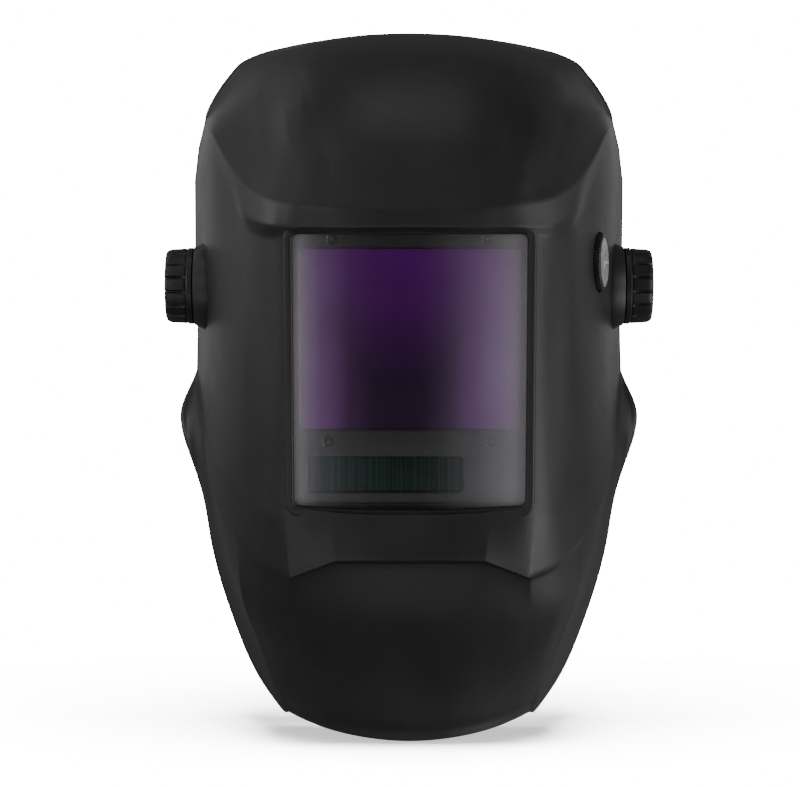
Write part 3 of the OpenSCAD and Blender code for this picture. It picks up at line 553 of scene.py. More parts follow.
def helmet_shell():
    shell = shell_skin()

    def add(shape, at):
        boolean(shell, solid(shape, at), "UNION")

    def cut(shape, at):
        boolean(shell, solid(shape, at), "DIFFERENCE")

    sides = [(s, side_axis(s)) for s in (-1, 1)]
    lip = [(3.2, 4.2), (3.2, -1.6), (3.05, -2.3), (2.6, -2.8), (2.0, -3.0)]
    add(loft(view_rings(lip, VIEW_W + 2.3, VIEW_H + 4, 4)), LENS)
    add(block(BAY_W + 6, BAY_H + 6, 4, 1, 12.5), LENS)
    for s, _ in sides:
        add(block(11, 12, 3, 3, 13.6, s * LATCH_X, LATCH_Z - 1), LENS)
    foot = SEAT_R + 3.6
    cone = lathe([(0.01, BOSS_ROOT), (foot, BOSS_ROOT), (foot, BOSS_ROOT + 5),
                  (SEAT_R + 1, BOSS_FACE), (0.01, BOSS_FACE)], 96)
    for _, at in sides:
        add(cone, at)
    add(drum(SHADE_R + 3, -3.6, 0.8, 96), SHADE)
    view = [(2.2, -6), (1.0, -3.05), (0.5, -2.75), (0.15, -2.3), (0, -1.6), (0, 1.2)]
    cut(loft(view_rings(view)), LENS)
    cut(block(BAY_W, BAY_H, 1.5, 0, 40), LENS)
    for s, _ in sides:
        cut(drum(1.25, 5, 20, 24), bore(s * LATCH_X, LATCH_Z))
    for _, at in sides:
        cut(drum(SHOULDER_R, 80, 130), at)
        cut(drum(SEAT_R + 1.2, 80, SEAT_FLOOR, 96), at)
        cut(drum(KNOB_R + 0.8, BOSS_FACE, 130, 96), at)
    cut(drum(3.6, -20, 10, 32), SHADE)
    cut(drum(SHADE_R + 0.6, -1, 11, 96), SHADE)
    lug = ((-3, -20.7), (3, -20.7), (3, -14.7), (-3, -14.7))
    for s, _ in sides:
        add(loft([[(x, y, z) for y, z in lug] for x in (101 * s, 103.7 * s)]), ROW)
    return shell


# ---------- finishes, one for each of the record's material slots ----------
def graded(name, low, high, z0, z1, rough, edge=None, **more):
    """Coated glass whose tint is a painted reflection: low up to height z0, high from z1 and at the sides,
    edge near the rim. In metres.
    """
    n = Nodes(name)
    x, _, z = n.axes()[:3]
    aside = n.maths("ABSOLUTE", n.maths("ADD", x, 0.004))
    painted_reflection_share = n.maths("MAXIMUM", n.span(z, z0, z1, 0, 1), n.span(aside, 0.012, 0.05, 0.0, 0.9))
    # The lighter tint at the top and the sides is a painted reflection.
    colour = n.ramp(painted_reflection_share, (0.0, low), (1.0, high))
    if edge:
        # Towards the rim the colour turns to edge, a painted reflection.
        colour = n.mix(n.span(aside, 0.024, 0.056, 0, 1), colour, edge)
    cloud = n.noise(22, 3, 0.6)
    colour = n.mix(n.span(cloud, 0.3, 0.7, 0.0, 0.25), colour, tuple(c * 0.5 for c in low))
    streak = n.span(n.noise(60, 5, 0.7), 0.3, 0.8, rough, rough + 0.06)
    return n.finish(Base_Color=colour, Roughness=streak, **more)


# Painted reflection on the cover lens, as a milky alpha haze across its width: (x in mm, share), and a gain
# for all of it
PAINTED_REFLECTION = [(-54, 0.110), (-50, 0.088), (-47, 0.055), (-41, 0.024), (-30, 0.008), (-18, 0.002), (-5, 0.0005),
        (5, 0.0015), (14, 0.007), (31, 0.030), (42, 0.068), (50, 0.115), (54, 0.130)]
PAINTED_REFLECTION_GAIN = 1.9
HALF = VIEW_W / 2


def cover_finish():
    """Clear sheet with a painted reflection as its haze: thin in the middle, milky at the sides."""
    n = Nodes("clear_polycarbonate")
    x = n.axes()[0]
    # The haze is a painted reflection, strongest at the sides; noise makes it uneven.
    painted_reflection_alpha = n.ramp(n.span(x, -HALF * MM, HALF * MM, 0, 1),
                  *[((at + HALF) / VIEW_W, v * PAINTED_REFLECTION_GAIN) for at, v in PAINTED_REFLECTION])
    smeared_reflection = n.span(n.noise(25, 4, 0.6), 0.3, 0.75, 0.9, 1.15)
    alpha = n.maths("MULTIPLY", painted_reflection_alpha, smeared_reflection)
    rough = n.span(n.noise(90, 4), 0.2, 0.8, 0.25, 0.4)
    return n.finish(Base_Color=(0.80, 0.76, 0.82), Roughness=rough, Alpha=alpha)


def solar_finish():
    """Amorphous silicon: dark green stripes of uneven width, with a painted reflection that makes it paler
    teal towards -X.
    """
    n = Nodes("solar_silicon")
    x = n.axes()[0]
    place = n.add("ShaderNodeCombineXYZ", X=x)
    stripe = n.noise(620, 4, 0.75, place.outputs[0])
    fine = n.noise(1700, 2, 0.6, place.outputs[0])
    lines = n.maths("ADD", n.maths("MULTIPLY", stripe, 0.7), n.maths("MULTIPLY", fine, 0.3))
    colour = n.ramp(lines, (0.3, (0.001, 0.002, 0.002)), (0.48, (0.002, 0.006, 0.005)),
                    (0.56, (0.012, 0.030, 0.024)), (0.7, (0.002, 0.005, 0.004)))
    # Painted reflection: the cell turns paler teal towards -X.
    painted_reflection_side = n.span(x, -0.046, 0.02, 1.0, 0.0)
    colour = n.mix(n.maths("MULTIPLY", painted_reflection_side, 0.3), colour, (0.020, 0.060, 0.052))
    return n.finish(Base_Color=colour, Roughness=n.span(fine, 0.3, 0.7, 0.3, 0.45), Specular=0.15)


def brushed(name, base, rough):
    """Bare metal with uneven polish."""
    n = Nodes(name)
    wide = n.noise(300, 5, 0.7)
    colour = n.mix(n.span(wide, 0.3, 0.7, 0, 1), tuple(c * 0.8 for c in base), base)
    roughness = n.span(n.noise(700, 3, 0.7), 0.3, 0.7, rough - 0.08, rough + 0.1)
    return n.finish(Base_Color=colour, Roughness=roughness, Metallic=1.0, Normal=n.bump(wide, 0.1, 0.0002))


def fabric(name, base, cell=0.0011):
    """Napped towelling: small loops over a soft weave."""
    n = Nodes(name)
    loops = n.add("ShaderNodeTexVoronoi", Scale=1 / cell, Randomness=0.75)
    n.put(loops.inputs["Vector"], n.place)
    round_loops = n.maths("SUBTRACT", 1.0, loops.outputs["Distance"])
    fuzz = n.noise(2600, 4, 0.7)
    drift = n.noise(40, 3)
    colour = n.mix(n.span(round_loops, 0.3, 0.95, 0, 1), tuple(c * 0.45 for c in base), base)
    colour = n.mix(n.span(drift, 0.3, 0.7, 0, 0.35), colour, tuple(c * 1.7 for c in base))
    height = n.maths("ADD", round_loops, n.maths("MULTIPLY", fuzz, 0.4))
    return n.finish(Base_Color=colour, Roughness=0.95, Sheen=0.35, Sheen_Roughness=0.5,
                    Normal=n.bump(height, 0.7, 0.0006))


def dial_finish():
    """Silver-grey printed face with mottling."""
    n = Nodes("dial_face")
    patch = n.noise(420, 4, 0.65)
    colour = n.ramp(patch, (0.3, 0.22), (0.5, 0.36), (0.7, 0.52))
    return n.finish(Base_Color=colour, Metallic=0.35, Roughness=n.span(patch, 0.3, 0.7, 0.35, 0.5))


def board_finish():
    """Green solder mask in patches."""
    n = Nodes("board")
    cells = n.add("ShaderNodeTexVoronoi", Scale=420.0, Randomness=0.6, feature="F1",
                  distance="CHEBYCHEV")
    n.put(cells.inputs["Vector"], n.place)
    colour = n.ramp(cells.outputs["Distance"], (0.2, (0.004, 0.03, 0.014)),
                    (0.5, (0.008, 0.07, 0.03)), (0.8, (0.02, 0.11, 0.05)))
    return n.finish(Base_Color=colour, Roughness=0.35)


FINISH = {
    "shell_plastic": moulded("shell_plastic", (0.014, 0.0135, 0.013), 0.42),
    "clear_polycarbonate": cover_finish(),
    "gasket_rubber": moulded("gasket_rubber", (0.008, 0.008, 0.008), 0.75, 0.3, 900),
    "case_plastic": moulded("case_plastic", (0.010, 0.0095, 0.0105), 0.35, 0.06, 1800),
    "rear_case_plastic": moulded("rear_case_plastic", (0.022, 0.022, 0.024), 0.5, 0.3, 1100),
    # The graded glass finishes are lighter at the top and the sides by painted reflection; the filter's pink
    # edge colour is painted reflection too.
    "filter_glass": graded("filter_glass", (0.018, 0.003, 0.026), (0.110, 0.003, 0.170), -0.05, 0.012,
                           0.3, (0.24, 0.06, 0.33), Specular=0.12),
    "lcd_glass": graded("lcd_glass", (0.010, 0.018, 0.014), (0.016, 0.030, 0.022), -0.065, 0.01, 0.06),
    "polariser": graded("polariser", (0.010, 0.011, 0.014), (0.016, 0.017, 0.022), -0.065, 0.01, 0.15),
    "solar_silicon": solar_finish(),
    "sensor_dome": graded("sensor_dome", (0.002, 0.002, 0.002), (0.003, 0.003, 0.003), -0.08, 0.02,
                          0.2, Coat=0.3),
    "board": board_finish(),
    "grey_plastic": moulded("grey_plastic", (0.11, 0.112, 0.115), 0.45, 0.2, 1300, 0.08),
    "cable_pvc": moulded("cable_pvc", (0.012, 0.012, 0.012), 0.5, 0.1, 700),
    "knob_plastic": moulded("knob_plastic", (0.012, 0.0118, 0.0115), 0.38, 0.2, 1500),
    "dial_face": dial_finish(),
    "red_plastic": moulded("red_plastic", (0.42, 0.02, 0.012), 0.4, 0.1, 1200, 0.1),
    "coin_steel": brushed("coin_steel", (0.62, 0.61, 0.58), 0.22),
    "steel": brushed("steel", (0.56, 0.56, 0.57), 0.3),
    "harness_nylon": moulded("harness_nylon", (0.019, 0.019, 0.0195), 0.5, 0.22, 1200),
    "sweat_fabric": fabric("sweat_fabric", (0.030, 0.031, 0.034)),
}
RECORD = frame["record"]
SLOT = {p["node"]: p["material_slot"] for p in RECORD["subparts"]}
BODY = {node: body for body, nodes in RECORD["behaviour"]["bodies"].items() for node in nodes}


def stands_for(piece, node, body=None, smooth=None):
    """A finished piece in place of a CAD node, on that node's body and in its finish."""
    piece.data.materials.clear()
    piece.data.materials.append(FINISH[SLOT[node]])
    if smooth is not None:
        shade(piece.data, smooth)
    if body != "blended":
        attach(piece, body or BODY[node])
    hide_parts(node)
    return piece


def made(name, node, shape, at=ROW, smooth=35):
    """A new piece from (vertices, faces), in place of a CAD node."""
    return stands_for(new_object(name, *shape, at=at, smooth=smooth), node)


def refined(node, width):
    """The CAD node's own shape with its edges broken by a small round."""
    mesh = frame["nodes"][node].data.copy()
    mesh.materials.clear()
    obj = bpy.data.objects.new(node + "_detail", mesh)
    bpy.context.scene.collection.objects.link(obj)
    bm = bmesh.new()
    bm.from_mesh(mesh)
    bmesh.ops.remove_doubles(bm, verts=bm.verts, dist=0.004 * MM)
    bmesh.ops.dissolve_limit(bm, angle_limit=rad(0.5), verts=bm.verts, edges=bm.edges)
    bm.to_mesh(mesh)
    bm.free()
    bevel = obj.modifiers.new("edges", "BEVEL")
    bevel.width = width * MM
    bevel.segments = 2
    bevel.limit_method = "ANGLE"
    bevel.angle_limit = rad(32)
    bevel.use_clamp_overlap = True
    applied(obj, None)
    shade(obj.data, 28)
    return stands_for(obj, node)


stands_for(helmet_shell(), "helmet_shell", smooth=40)

# ---------- lens and filter cartridge ----------
# In the lens plane: window (width, height, z), solar cell (width, height, x, z), sensors and screws
WINDOW = (101, 85, 14)
SOLAR = (72.5, 16.5, -11.5, -50)
SENSORS = [(i * x, z) for i in (-1, 1) for x, z in ((35.8, 61.2), (38.2, -34.2))]
SCREWS = [(i * 54.3, j * 63) for i in (-1, 1) for j in (-1, 1)]


def flared(w, h, r, x, z, steps):
    """A cutter for an opening with chamfered rims: steps are (growth, depth) pairs."""
    return solid(loft([[(px, d, pz) for px, pz in rounded(w + 2 * g, h + 2 * g, r + g, x, z)]
                       for g, d in steps]), LENS)


def bezel():
    """Front half of the filter cartridge with its chamfered openings."""
    case = new_object("filter_bezel", *plate(114, 133, 3, 2.5, 8, 0.4), at=LENS, smooth=None)
    ww, wh, wz = WINDOW
    sw, sh, sx, sz = SOLAR
    cuts = [flared(ww, wh, 2, 0, wz, [(1.3, 2.2), (1.1, 2.55), (0.1, 3.25), (0, 3.4), (0, 9)]),
            flared(ww + 5, wh + 5, 2, 0, wz, [(0, 3.7), (0, 9)]),
            flared(sw, sh, 1.2, sx, sz, [(0.8, 2.2), (0.7, 2.5), (0.05, 3.1), (0, 3.2), (0, 5)]),
            flared(sw + 4, sh + 4, 1, sx, sz, [(0, 3.7), (0, 9)]),
            flared(107, 24, 1, 0, -48.5, [(0, 5), (0, 9)])]
    for x, z in SENSORS:
        rim = [(3.0, 2.2), (2.9, 2.52), (2.25, 3.0), (2.1, 3.1), (2.1, 9)]
        cuts.append(solid(lathe(rim, 48), bore(x, z)))
    for x, z in SCREWS:
        cuts.append(solid(drum(1.25, 4, 9, 24), bore(x, z)))
    for cut in cuts:
        boolean(case, cut, "DIFFERENCE")
    stands_for(case, "filter_case_front", smooth=25)


def sensor_domes():
    """Domed photodiode lenses, each with a narrow collar."""
    verts, faces = lathe([(0.01, 5), (1.8, 5), (1.8, 3.45), (1.7, 3.3), (1.35, 3.3), (1.25, 3.4),
                          (1.05, 3.1), (0.75, 2.94), (0.4, 2.9), (0.01, 2.9)], 32)
    domes = joined([([bore(x, z) @ Vector(p) for p in verts], faces) for x, z in SENSORS])
    made("sensor_domes", "arc_sensors", domes)


bezel()
sensor_domes()
made("cover_sheet", "front_cover_lens", plate(114, 133, 2, 0.05, 1.5, 0.25), LENS)
made("inner_sheet", "inner_cover_lens", plate(103, 87, 2, 12.6, 13.6, 0.2, 0, 14), LENS)
for node, y0, y1 in (("interference_filter", 3.8, 4.9), ("lcd_shutter_front", 5, 6.2),
                     ("polariser_film", 6.3, 6.6), ("lcd_shutter_rear", 6.7, 7.9)):
    made(node + "_glass", node, plate(105.4, 89.4, 1.5, y0, y1, 0.1, 0, 14), LENS)
made("solar_strip", "solar_cell", plate(75.9, 19.9, 0.4, 3.8, 4.8, 0.1, -11.5, -50), LENS)

# ---------- knobs ----------
def grooved(t, r, h, depth=1.25, half_width=1.15, lead=rad(11), start=113.2, fade=1.2):
    """Radius of the tension knob: sixteen narrow round-bottomed grooves down its side."""
    step = TURN / 16
    off = abs((t - lead + step / 2) % step - step / 2) * r
    if off >= half_width or r < 15:
        return r
    ends = min(1.0, max(0.0, (h - start) / fade))
    return r - depth * ends * (math.cos(math.pi * off / half_width) + 1) / 2


def tension_knob(side, name):
    profile = [(0.01, 109.7), (19.2, 109.7), (19.5, 110.0), (19.5, 112.2), (19.3, 112.45), (18.95, 112.5),
               (18.9, 112.9), (19.1, 113.2), (19.15, 113.8), (19.0, 116), (18.85, 118.5), (18.7, 120.8),
               (18.45, 122.0), (17.9, 123.0), (17.1, 123.6), (16.2, 123.7), (14.3, 123.7), (13.8, 123.5),
               (13.5, 122.9), (13.4, 122.2), (9, 122.4), (4, 122.7), (0.01, 122.8)]
    at = side_axis(side)
    knob = new_object(name + "_grip", *lathe(profile, 480, grooved), at=at, smooth=None)
    boolean(knob, solid(drum(14, 105, 111.2, 96), at), "DIFFERENCE")
    boolean(knob, solid(drum(3.95, 105, 120, 48), at), "DIFFERENCE")
    stands_for(knob, name, smooth=30)


tension_knob(1, "tension_knob_left")
tension_knob(-1, "tension_knob_right")


def knurled(t, r, h):
    """Radius of the shade knob: 64 ribs on its side."""
    return r - (0.45 * (0.5 + 0.5 * math.cos(64 * t)) if 0.9 < h < 4.4 and r > 13 else 0)


def shade_dial():
    grip = [(7, 0.4), (13.6, 0.4), (14.0, 0.6), (14.25, 1.0), (14.3, 1.4), (14.3, 2.2), (14.3, 3.2),
            (14.2, 3.9), (13.9, 4.5), (13.2, 5.1), (12.8, 5.2), (12.35, 5.15), (12.25, 4.4),
            (2.05, 4.4), (2.05, 2.3), (7, 2.3)]
    ring = loft(turned_rings(grip, 512, knurled), closed=True, caps=False)
    made("shade_dial_grip", "shade_knob", ring, SHADE, 30)
    face = [(0.01, 4.42), (12.15, 4.42), (12.15, 4.85), (12.0, 5.0), (4.6, 5.05), (3.9, 5.2), (3.4, 5.75),
            (3.0, 5.8), (0.01, 5.8)]
    made("shade_dial_face", "shade_knob_face", lathe(face, 96), SHADE)
    # Plain marks: degrees round, distance out, width, length, height
    marks = [(0, 0, 1.1, 5.2, 5.8)]
    marks += [(a, 9.6, 0.55, 1.6 if a % 90 else 2.6, 4.98) for a in range(-135, 136, 27)]
    shapes = []
    for a, out, w, h, z in marks:
        turn = Matrix.Rotation(rad(a), 4, "Z")
        outline = rounded(w, h, w / 2.2, per=4)
        verts, faces = loft([[(x, y + out, z + up) for x, y in outline] for up in (0, 0.12)])
        shapes.append(([turn @ Vector(p) for p in verts], faces))
    printed = new_object("shade_dial_marks", *joined(shapes), SHADE)
    n = Nodes("dial_print")
    grey = n.mix(n.noise(900), (0.6, 0.6, 0.6), (0.85, 0.85, 0.85))
    printed.data.materials.append(n.finish(Base_Color=grey, Roughness=0.5))
    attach(printed, BODY["shade_knob_face"])


shade_dial()

# ---------- every other CAD node, with the round on its edges ----------
BROKEN = {
    "cover_lens_gasket": 0.15, "filter_case_rear": 0.4, "filter_case_screws": 0.15, "circuit_board": 0.1,
    "filter_retainer": 0.35, "latch_screws": 0.2, "battery_contacts": 0.05, "shade_potentiometer": 0.3,
    "shade_lock_nut": 0.2, "shade_shaft": 0.3, "sensitivity_knob": 0.3, "delay_knob": 0.3, "test_button": 0.4,
    "battery_drawer": 0.4, "coin_cell": 0.3, "filter_latch_left": 0.35, "filter_latch_right": 0.35,
    "slider_block_left": 0.6, "slider_block_right": 0.6, "pivot_bolt_left": 0.4, "pivot_bolt_right": 0.4,
    "tilt_stop_left": 0.3, "tilt_stop_right": 0.3, "inner_washer_left": 0.2, "inner_washer_right": 0.2,
    "outer_washer_left": 0.2, "outer_washer_right": 0.2, "headband": 0.45, "crown_strap_left": 0.4,
    "crown_strap_right": 0.4, "slide_rail_left": 0.5, "slide_rail_right": 0.5, "harness_rivets": 0.3,
    "ratchet_case": 0.8, "ratchet_cover": 0.4, "rack_strap_left": 0.25, "rack_strap_right": 0.25,
    "ratchet_knob": 0.8, "ratchet_pinion": 0.15,
}
for node, width in BROKEN.items():
    refined(node, width)

# ---------- wire ----------
def smooth_path(points, per):
    """A curve through the points, with its ends held straight."""
    p = [Vector(q) for q in points]
    p = [2 * p[0] - p[1]] + p + [2 * p[-1] - p[-2]]
    out = []
    for a, b, c, d in zip(p, p[1:], p[2:], p[3:]):
        for k in range(per):
            t = k / per
            out.append(0.5 * ((2 * b) + (c - a) * t + (2 * a - 5 * b + 4 * c - d) * t**2
                              + (3 * b - 3 * c + d - a) * t**3))
    return out + [p[-2]]


def tube(path, radius, sides):
    """A round rod along a path."""
    rings = []
    for k, p in enumerate(path):
        along = (path[min(k + 1, len(path) - 1)] - path[max(k - 1, 0)]).normalized()
        a = along.cross(Vector((0, 0.01, 1))).normalized()
        b = along.cross(a)
        rings.append([p + radius * (a * math.cos(t) + b * math.sin(t))
                      for t in (TURN * i / sides for i in range(sides))])
    return loft(rings)


CABLE = [(83.2, -62.4, -1.4), (82.4, -66, -10), (79.5, -74, -22), (75, -84, -38), (70, -92, -54),
         (64, -98, -69), (57.5, -101.6, -80.5), (51.4, -102.7, -86.5)]
CABLE_R = 1.3
wire = smooth_path(CABLE, 8)
lead = made("shade_lead", "shade_cable", tube(wire, CABLE_R, 20))

# The button's spring: 40 points a turn round its middle in the lens plane, at 0.045 mm a point
COIL_X, COIL_Y, COIL_Z, COIL_R, WIRE_R = 3, 6.9, -49.5, 2.4, 0.3
coil = [LENS @ Vector((COIL_X + COIL_R * math.cos(rad(9 * k)), COIL_Y + 0.045 * k,
                       COIL_Z + COIL_R * math.sin(rad(9 * k)))) for k in range(201)]
spring = made("button_coil", "test_button_spring", tube(coil, WIRE_R, 10))
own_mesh(spring)


# ---------- nape straps: webs from the headband to the racks ---------
# Half axes of the headband, height of the straps, and where the racks begin, x and the y of each
BAND_A, BAND_B, STRAP_H, RACK_END = 83, 100, 18, 36
RACK_MIDDLE = {1: 107.75, -1: 109.65}


def on_band(degrees, out=0.0):
    """A point on the headband's oval, degrees from the front."""
    a = rad(degrees)
    return Vector(((BAND_A + out) * math.sin(a), -(BAND_B + out) * math.cos(a), 0))


def nape_strap(side, node):
    """A web from the headband to a rack, with a straight end."""
    start, end = on_band(106.5, 3), Vector((RACK_END + 0.8, RACK_MIDDLE[side], 0))
    p = [start, Vector((78.5, 62, 0)), end + Vector((25, 0, 0)), end + Vector((12.5, 0, 0))]
    path = [p[0] * (1 - t)**3 + p[1] * 3 * t * (1 - t)**2 + p[2] * 3 * t * t * (1 - t) + p[3] * t**3
            for t in (k / 40 for k in range(41))]
    path += [end + Vector((x, 0, 0)) for x in (10, 7.5, 5, 2.5, 0, -2, -4)]
    half, thick, soft = STRAP_H / 2, 0.7, 0.3
    section = [(-thick, -half + soft), (-thick + soft, -half), (thick - soft, -half),
               (thick, -half + soft), (thick, -half * 0.82), (thick * 0.72, -half * 0.74),
               (thick * 0.72, half * 0.74), (thick, half * 0.82), (thick, half - soft),
               (thick - soft, half), (-thick + soft, half), (-thick, half - soft)]
    rings = []
    for k, p in enumerate(path):
        along = (path[min(k + 1, len(path) - 1)] - path[max(k - 1, 0)]).normalized()
        off = Vector((-along.y, along.x, 0))
        rings.append([p - off * n + Vector((0, 0, z)) for n, z in section])
    verts, faces = loft(rings)
    if side < 0:
        verts = [Vector((-v.x, v.y, v.z)) for v in verts]
    obj = new_object(node + "_web", verts, faces, BAND, 30)
    stands_for(obj, node, body="blended")
    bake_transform(obj)


nape_strap(1, "nape_strap_left")
nape_strap(-1, "nape_strap_right")


# ---------- pads ----------
CLOTH_FRAMES = 20


def inflate(obj, voxel, pressure, cap, held):
    """Blows up a closed form as cloth.

    held(point in mm) tells which points stay, and no point moves further than cap.
    """
    mod = obj.modifiers.new("skin", "REMESH")
    mod.mode = "VOXEL"
    mod.voxel_size = voxel * MM
    applied(obj, None)
    mesh = obj.data
    before = np.array([v.co[:] for v in mesh.vertices])
    group = obj.vertex_groups.new(name="held")
    for v in mesh.vertices:
        if held(v.co / MM):
            group.add([v.index], 1.0, "REPLACE")
    cloth = obj.modifiers.new("cloth", "CLOTH")
    cloth.settings.quality = 6
    cloth.settings.mass = 0.2
    cloth.settings.use_pressure = True
    cloth.settings.uniform_pressure_force = pressure
    cloth.settings.vertex_group_mass = "held"
    cloth.settings.effector_weights.gravity = 0
    cloth.settings.shrink_min = -0.02
    cloth.collision_settings.use_collision = False
    cloth.point_cache.frame_start = 1
    cloth.point_cache.frame_end = CLOTH_FRAMES
    for at in range(1, CLOTH_FRAMES + 1):
        bpy.context.scene.frame_set(at)
    dg = bpy.context.evaluated_depsgraph_get()
    after = np.array([v.co[:] for v in obj.evaluated_get(dg).data.vertices])
    obj.modifiers.clear()
    bpy.context.scene.frame_set(1)
    move = after - before
    far = np.linalg.norm(move, axis=1, keepdims=True)
    move *= np.minimum(1, cap * MM / np.maximum(far, 1e-9))
    mesh.vertices.foreach_set("co", (before + move).ravel())
    obj.vertex_groups.clear()
    sub = obj.modifiers.new("round", "SUBSURF")
    sub.levels = 1
    sub.render_levels = 1
    return applied(obj, None)


def pressed(obj, depth, toward):
    """Moves points by depth(p) mm along toward(p); both take a point in mm."""
    mesh = obj.data
    for v in mesh.vertices:
        p = v.co / MM
        d = depth(p)
        if d:
            v.co = (p + toward(p) * d) * MM
    mesh.update()


def bell(x, width):
    """1 at the middle of a seam, falling off over its width."""
    return math.exp(-(x / width) ** 2) if abs(x) < 4 * width else 0.0


FLAT_BAND = BAND.inverted()


def round_band(p):
    """Angle round the band in degrees, distance inside it, and height on it."""
    q = FLAT_BAND @ Vector(p)
    a = math.atan2(q.x / BAND_A, -q.y / BAND_B)
    return math.degrees(a), BAND_A * (1 - math.hypot(q.x / BAND_A, q.y / BAND_B)), q.z


def thread(name, node, runs):
    """Short stitches at (point, along, out) in mm."""
    loops = ((-1.15, -0.12), (-0.7, 0.2), (0.7, 0.2), (1.15, -0.12))
    section = ((-0.26, 0), (-0.15, 0.2), (0.15, 0.2), (0.26, 0), (0, -0.25))
    shapes = []
    for p, along, out in runs:
        across = along.cross(out).normalized()
        shapes.append(loft([[p + along * t + across * w + out * (h + g) for w, g in section]
                            for t, h in loops]))
    obj = new_object(name, *joined(shapes), smooth=40)
    obj.data.materials.append(FINISH["sweat_fabric"])
    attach(obj, BODY[node])


def surface(obj):
    bm = bmesh.new()
    bm.from_mesh(obj.data)
    tree = BVHTree.FromBMesh(bm)
    bm.free()
    return tree


def as_pad(pad, node):
    stands_for(pad, node)
    pad.data.shade_smooth()
    return surface(pad)


PAD_END, SEAM_Z, PAD_SEAM = 61, 12.8, (-42, -21, 0, 21, 42)
FLAT = BAND.to_3x3()


def sweatband():
    """Pad on the front of the headband, with two long seams and five across."""
    rings = []
    section = [(0.5, -15.6), (1.2, -16.2), (3.0, -15.8), (4.3, -13.5), (4.9, -9), (5.0, -4), (5.0, 4),
               (4.9, 9), (4.3, 13.5), (3.0, 15.8), (1.2, 16.2), (0.5, 15.6)]
    for k in range(61):
        a = -PAD_END + 2 * PAD_END * k / 60
        end = min(1.0, (PAD_END + 0.01 - abs(a)) / 4) ** 0.5
        rings.append([on_band(a, -(0.5 + (inn - 0.5) * end)) + Vector((0, 0, z * (0.86 + 0.14 * end)))
                      for inn, z in section])
    pad = new_object("sweatband_pad", *loft(rings), at=BAND, smooth=None)
    inflate(pad, 2.4, 4.0, 1.3, lambda p: round_band(p)[1] < 1.6)

    def seam(p):
        a, inn, z = round_band(p)
        if inn < 1.8:
            return 0.0
        channels = sum(bell((a - c) * 1.55, 1.3) for c in PAD_SEAM)
        within = 1 if abs(z) < SEAM_Z else 0
        return 0.9 * max(bell(abs(z) - SEAM_Z, 1.1), 0.8 * min(1, channels) * within)

    def outwards(p):
        q = FLAT_BAND @ Vector(p)
        return (FLAT @ Vector((q.x, q.y, 0))).normalized()

    pressed(pad, seam, outwards)
    tree = as_pad(pad, "sweatband")
    stitches = []
    for z in (-SEAM_Z, SEAM_Z):
        for k in range(46):
            a = -56 + 112 * k / 45
            q = on_band(a, -12) + Vector((0, 0, z))
            ahead = on_band(a + 0.5, -12) - on_band(a, -12)
            out = -Vector((q.x, q.y, 0)).normalized()
            hit = tree.ray_cast((BAND @ q) * MM, FLAT @ -out)[0]
            if hit is not None:
                stitches.append((hit / MM, (FLAT @ ahead).normalized(), FLAT @ out))
    thread("sweatband_thread", "sweatband", stitches)


def nape_pad():
    """Cushion on the ratchet case, with a seam round it and two upright ones."""
    w, h, r, seam_x = 70.4, 34.4, 8.5, 11.5
    profile = [(0.8, 103.1), (0.1, 102.8), (0, 102.2), (0, 101.2), (0.5, 100.3), (1.8, 99.6), (4, 99.3),
               (9, 99.2), (16.5, 99.2)]
    pad = new_object("nape_cushion", *loft(pane(w, h, r, profile)), at=BAND, smooth=None)
    inflate(pad, 2.2, 4.0, 1.1, lambda p: (FLAT_BAND @ p).y > 102)

    def seam(p):
        q = FLAT_BAND @ Vector(p)
        if q.y > 101.5:
            return 0.0
        edge = min(w / 2 - abs(q.x), h / 2 - abs(q.z))
        return 0.9 * max(bell(edge - 4.2, 1.0), bell(abs(q.x) - seam_x, 1.0) * (1 if edge > 4.2 else 0))

    back = FLAT @ Vector((0, 1, 0))
    pressed(pad, seam, lambda p: back)
    tree = as_pad(pad, "nape_pad")
    upright = [((x, 90, -11.2 + 2.8 * k), (0, 0, 1)) for x in (-seam_x, seam_x) for k in range(9)]
    level = [((-27 + 2.7 * k, 90, z), (1, 0, 0)) for z in (-13, 13) for k in range(21)]
    stitches = []
    for at, along in upright + level:
        hit = tree.ray_cast((BAND @ Vector(at)) * MM, back)[0]
        if hit is not None:
            stitches.append((hit / MM, FLAT @ Vector(along), -back))
    thread("nape_thread", "nape_pad", stitches)


sweatband()
nape_pad()

# ---------- floor, light and camera ----------
WHITE = 24.0
FLOOR_R, FLOOR_Y, SIDES = 1400, 300, 96


